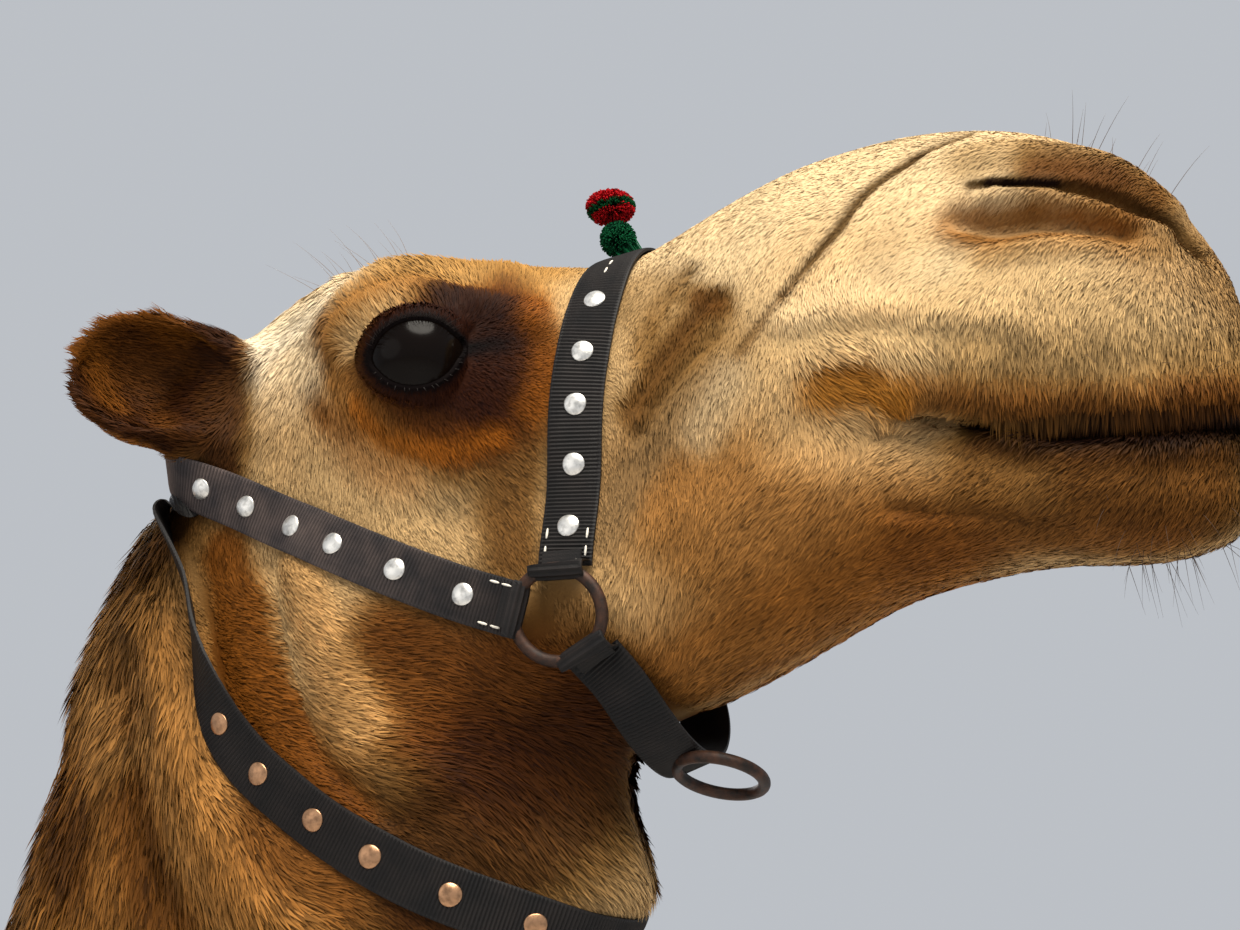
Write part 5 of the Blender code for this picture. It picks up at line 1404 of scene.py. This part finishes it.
def yarn(name, node, inner, outer, squash, seed, stem=None, belt=None):
    """A clipped ball of strands in place of a node, its colour between two. Stem is where it is bound on."""
    rng = np.random.default_rng(seed)
    low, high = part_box(node)
    middle = (np.array(low) + np.array(high)) / 2
    radius = (high.x - low.x) / 2
    count = STRANDS_IN_A_BALL
    way = unit(rng.normal(size=(count, 3)))
    middle = middle - np.array([0, 0, (1 - squash[2]) * radius])
    start = middle + way * radius * 0.35 * squash
    along = unit(way + rng.normal(0, 0.25, (count, 3)))
    end = middle + way * radius * 0.9 * squash + along * radius * 0.10 * rng.uniform(0.4, 1.6, (count, 1))
    if stem is not None:
        # A few strands bind the ball down to the webbing.
        bound = slice(0, STRANDS_IN_THE_CORD)
        spread = rng.normal(0, 0.0018, (STRANDS_IN_THE_CORD, 3))
        start[bound] = in_world(stem) + spread
        end[bound] = middle + spread * 1.5
        along[bound] = unit(end[bound] - start[bound])
    side = unit(np.cross(along, rng.normal(size=(count, 3))))
    other = np.cross(along, side)
    three_ways = (side, other * 0.87 - side * 0.5, -other * 0.87 - side * 0.5)
    verts = np.stack([tip + facing * YARN_RADIUS for tip in (start, end) for facing in three_ways], 1)
    pattern = [(0, 1, 4, 3), (1, 2, 5, 4), (2, 0, 3, 5), (3, 4, 5), (0, 2, 1)]
    faces = [tuple(i * 6 + c for c in face) for i in range(count) for face in pattern]
    mesh = bpy.data.meshes.new(name)
    mesh.from_pydata(verts.reshape(-1, 3).tolist(), [], faces)
    tone = linear(inner) + (linear(outer) - linear(inner)) * rng.uniform(0, 1, (count, 1))
    if belt is not None:
        # One turn of the other yarn round the ball's middle.
        belted = np.abs(way @ unit(np.array([-0.30, -0.13, 0.94])) + 0.14) < 0.20
        tone[belted] = linear(belt) * rng.uniform(0.5, 1.5, (belted.sum(), 1))
    layer = mesh.color_attributes.new("coat_colour", "FLOAT_COLOR", "POINT")
    rgba = np.hstack([tone, np.ones((count, 1))])
    layer.data.foreach_set("color", np.repeat(rgba, 6, axis=0).ravel())
    # Dyed wool: quite dull, each strand in its own tone.
    mesh.materials.append(hair_coloured(name + " wool yarn", 0.9)[0])
    piece = new_object(name, mesh)
    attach(piece, "root")
    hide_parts(node)
    return piece


top_of_noseband = noseband[0][len(noseband[0]) // 2]
green_ball = yarn("halter_green_yarn", "halter_pompom_green", "05261a", "14603a", np.array([1, 1, 1.0]), 41,
                  top_of_noseband)
red_ball = yarn("halter_red_yarn", "halter_pompom_red", "6b0d12", "c41a22", np.array([1.2, 1.2, 0.80]), 42,
                belt="0c3f22")


# ================================================================ lashes, brow hairs and whiskers
# Single stiff hairs that grow out of the hide: thick dark lashes along both lids, long thin hairs over the
# brow, and feelers on nose, chin and lips.
HAIRS = {                        # millimetres thick at the root, and colour
    "lashes": (0.22, "1a0f0a"),
    "brow_hairs": (0.16, "6b4f35"),
    "whiskers": (0.17, "4a3423"),
}
STEPS_IN_A_HAIR = 6


def strands(name, hairs, thick, code):
    """Tapered three-sided hairs. Each has a root and a way out, a length and a bend, in the head's frame."""
    verts, faces = [], []
    for root, way, length, bend in hairs:
        way = unit(np.array(way, float))
        side = unit(np.cross(way, [0.3, 0.5, 0.8]))
        other = np.cross(way, side)
        first = len(verts)
        for step in range(STEPS_IN_A_HAIR):
            t = step / (STEPS_IN_A_HAIR - 1)
            spot = np.array(root) + way * (length * t) + np.array(bend) * (t * t * length)
            for a in (0, 2.1, 4.2):
                verts.append(spot + (side * math.cos(a) + other * math.sin(a)) * thick * (1 - 0.85 * t))
        faces += [face[::-1] for face in tube_faces(first, STEPS_IN_A_HAIR, 3)]
        faces.append([len(verts) - 3 + i for i in range(3)])
    mesh = bpy.data.meshes.new(name)
    mesh.from_pydata(in_world(np.array(verts)).tolist(), [], faces)
    mesh.polygons.foreach_set("use_smooth", [True] * len(mesh.polygons))
    obj = new_object(name, mesh)
    # Stiff hair: plain and only a little glossy.
    stiff = "stiff " + name.replace("_", " ")
    mesh.materials.append(material(stiff, Base_Color=(*linear(code), 1), Roughness=0.6)[0])
    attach(obj, "root")


rng = np.random.default_rng(61)
lashes, brow_hairs, whiskers = [], [], []


def on_hide(spot, side):
    """The nearest place on the hide to a spot of the right half, on either side, and the way out there."""
    found, out, _, _ = hide.find_nearest(Vector(in_world(np.array(spot) * [1, side, 1])))
    return in_head(np.array(found)), np.array(out) @ TURN


for side in (-1, 1):
    flip = np.array([1, side, 1])
    for upper, number, length in ((True, 60, 9.0), (False, 14, 2.8)):
        for t in np.linspace(0.12, 0.9, number):
            angle = np.pi * t * (1 if upper else -1) + rng.normal(0, 0.02)
            tall = OPEN_UP if upper else OPEN_DOWN
            rim = 1 / math.sqrt((math.cos(angle) / OPEN_WIDE) ** 2 + (math.sin(angle) / tall) ** 2)
            across = FORWARD * math.cos(angle) + UPWARD * math.sin(angle)
            root = EYE + (SIGHT * math.cos(rim) + across * math.sin(rim)) * (BALL + 1.4)
            way = across * (0.45 if upper else 0.9) + SIGHT * 0.75 + FORWARD * 0.25 + rng.normal(0, 0.12, 3)
            bend = (across * -0.15 if upper else -across * 0.05)
            lashes.append((root * flip, way * flip, length * rng.uniform(0.6, 1.1), bend * flip))
    for _ in range(16):
        spot = [rng.uniform(140, 200), rng.uniform(44, 82), 176]
        root, out = on_hide(spot, side)
        way = out + np.array([-0.35, 0, 0.5]) + rng.normal(0, 0.18, 3)
        brow_hairs.append((root, way, rng.uniform(14, 30), (-0.25, 0, 0.1)))
    for _ in range(12):
        spot = [rng.uniform(480, 540), rng.uniform(5, 34), rng.uniform(70, 140)]
        root, out = on_hide(spot, side)
        way = out + rng.normal(0, 0.25, 3) + np.array([0.1, 0, 0.5])
        whiskers.append((root, way, rng.uniform(14, 38), (-0.1, 0, -0.2)))
    for _ in range(26):
        spot = [rng.uniform(470, 536), rng.uniform(4, 36), rng.uniform(-75, -30)]
        root, out = on_hide(spot, side)
        whiskers.append((root, out + rng.normal(0, 0.25, 3), rng.uniform(8, 24), (0, 0, -0.3)))
    for _ in range(14):
        spot = [rng.uniform(450, 540), 50, rng.uniform(5, 50)]
        root, out = on_hide(spot, side)
        whiskers.append((root, out + rng.normal(0, 0.3, 3), rng.uniform(6, 16), (0.1, 0, -0.4)))

strands("lashes", lashes, *HAIRS["lashes"])
strands("brow_hairs", brow_hairs, *HAIRS["brow_hairs"])
strands("whiskers", whiskers, *HAIRS["whiskers"])


# ================================================================ toenails
# Two blunt horn nails at the front of each foot, grown out of the toes and let into the pad. Horn is dull,
# mottled brown and grey in patches of about 6 mm and a little uneven with wear.
NAIL_SIZE = 0.94                 # of the solid it replaces
NAIL_SET_BACK = Vector((0.005, 0, 0.001))
horn_material = mottled("dull horn", (0.3, linear("2b2119")), (0.75, linear("5d4c3b")),
                        {"Scale": 160.0, "Detail": 4.0}, {"Strength": 0.4, "Distance": 0.0006}, Roughness=0.5)
for node_name in [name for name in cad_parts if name.startswith("nail_")]:
    mesh = bpy.data.meshes.new("toe" + node_name)
    bm = bmesh.new()
    bm.from_mesh(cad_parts[node_name].data)
    bmesh.ops.remove_doubles(bm, verts=bm.verts, dist=MERGE)
    middle = sum((v.co for v in bm.verts), Vector()) / len(bm.verts)
    for vert in bm.verts:
        vert.co = middle + (vert.co - middle) * NAIL_SIZE - NAIL_SET_BACK
    bm.to_mesh(mesh)
    bm.free()
    nail = new_object("toe" + node_name, mesh)
    rounded = nail.modifiers.new("Rounded", "SUBSURF")
    rounded.levels = rounded.render_levels = 2
    mesh.polygons.foreach_set("use_smooth", [True] * len(mesh.polygons))
    mesh.materials.append(horn_material)
    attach(nail, "root")
    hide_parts(node_name)


# ================================================================ studio
# A plain pale floor and sky, with a warm high lamp before the animal, a wide soft one from the side and one
# behind it to draw the edge of neck and hump.
FLOOR_SIZE = 14
LAMPS = {                        # place, what it points at, width and height, watts, colour
    "key": ((2.0, -1.3, 4.7), (0.9, 0, 1.9), (2.6, 2.6), 225, (1, 0.94, 0.83)),
    "fill": ((-1.5, -4.5, 2.5), (0.2, 0, 1.4), (4.5, 3.5), 26, (1, 0.96, 0.9)),
    "back": ((-2.5, 3.5, 3.5), (0, 0, 1.3), (3, 2), 80, (1, 1, 1)),
}
bpy.ops.mesh.primitive_plane_add(size=FLOOR_SIZE, location=(0, 0, 0))
floor = bpy.context.active_object
floor.name = "studio_floor"
# Matt pale paint, a little warm.
paint = material("painted studio floor", Base_Color=(*linear("e1deda"), 1), Roughness=0.8)[0]
floor.data.materials.append(paint)

world = bpy.data.worlds.new("studio")
bpy.context.scene.world = world
world.use_nodes = True
sky = world.node_tree.nodes["Background"]
sky.inputs["Color"].default_value = (0.84, 0.88, 0.94, 1)
sky.inputs["Strength"].default_value = 0.60
for name, (place, target, size, power, colour) in LAMPS.items():
    light = bpy.data.lights.new(name, "AREA")
    light.shape = "ELLIPSE"
    light.size, light.size_y = size
    light.energy = power
    light.color = colour
    obj = bpy.data.objects.new(name, light)
    bpy.context.scene.collection.objects.link(obj)
    obj.location = place
    obj.rotation_mode = "QUATERNION"
    obj.rotation_quaternion = (Vector(target) - Vector(place)).to_track_quat("-Z", "Y")


# ================================================================ camera
# A plain 50 mm lens that stands about 0.9 m from the poll, beside the muzzle and a little under the eye, and
# looks up and back at the cheek.
FROM_POLL = Vector((0.56, -0.735, -0.090))
LOOK_BACK = math.radians(23.5)
LOOK_UP = math.radians(14)
lens = bpy.data.cameras.new("camera")
lens.lens = 50
lens.sensor_width = 36
camera = bpy.data.objects.new("camera", lens)
bpy.context.scene.collection.objects.link(camera)
camera.location = POLL + FROM_POLL
level = math.cos(LOOK_UP)
look = Vector((-math.sin(LOOK_BACK) * level, math.cos(LOOK_BACK) * level, math.sin(LOOK_UP)))
camera.rotation_mode = "QUATERNION"
camera.rotation_quaternion = look.to_track_quat("-Z", "Y")
bpy.context.scene.camera = camera
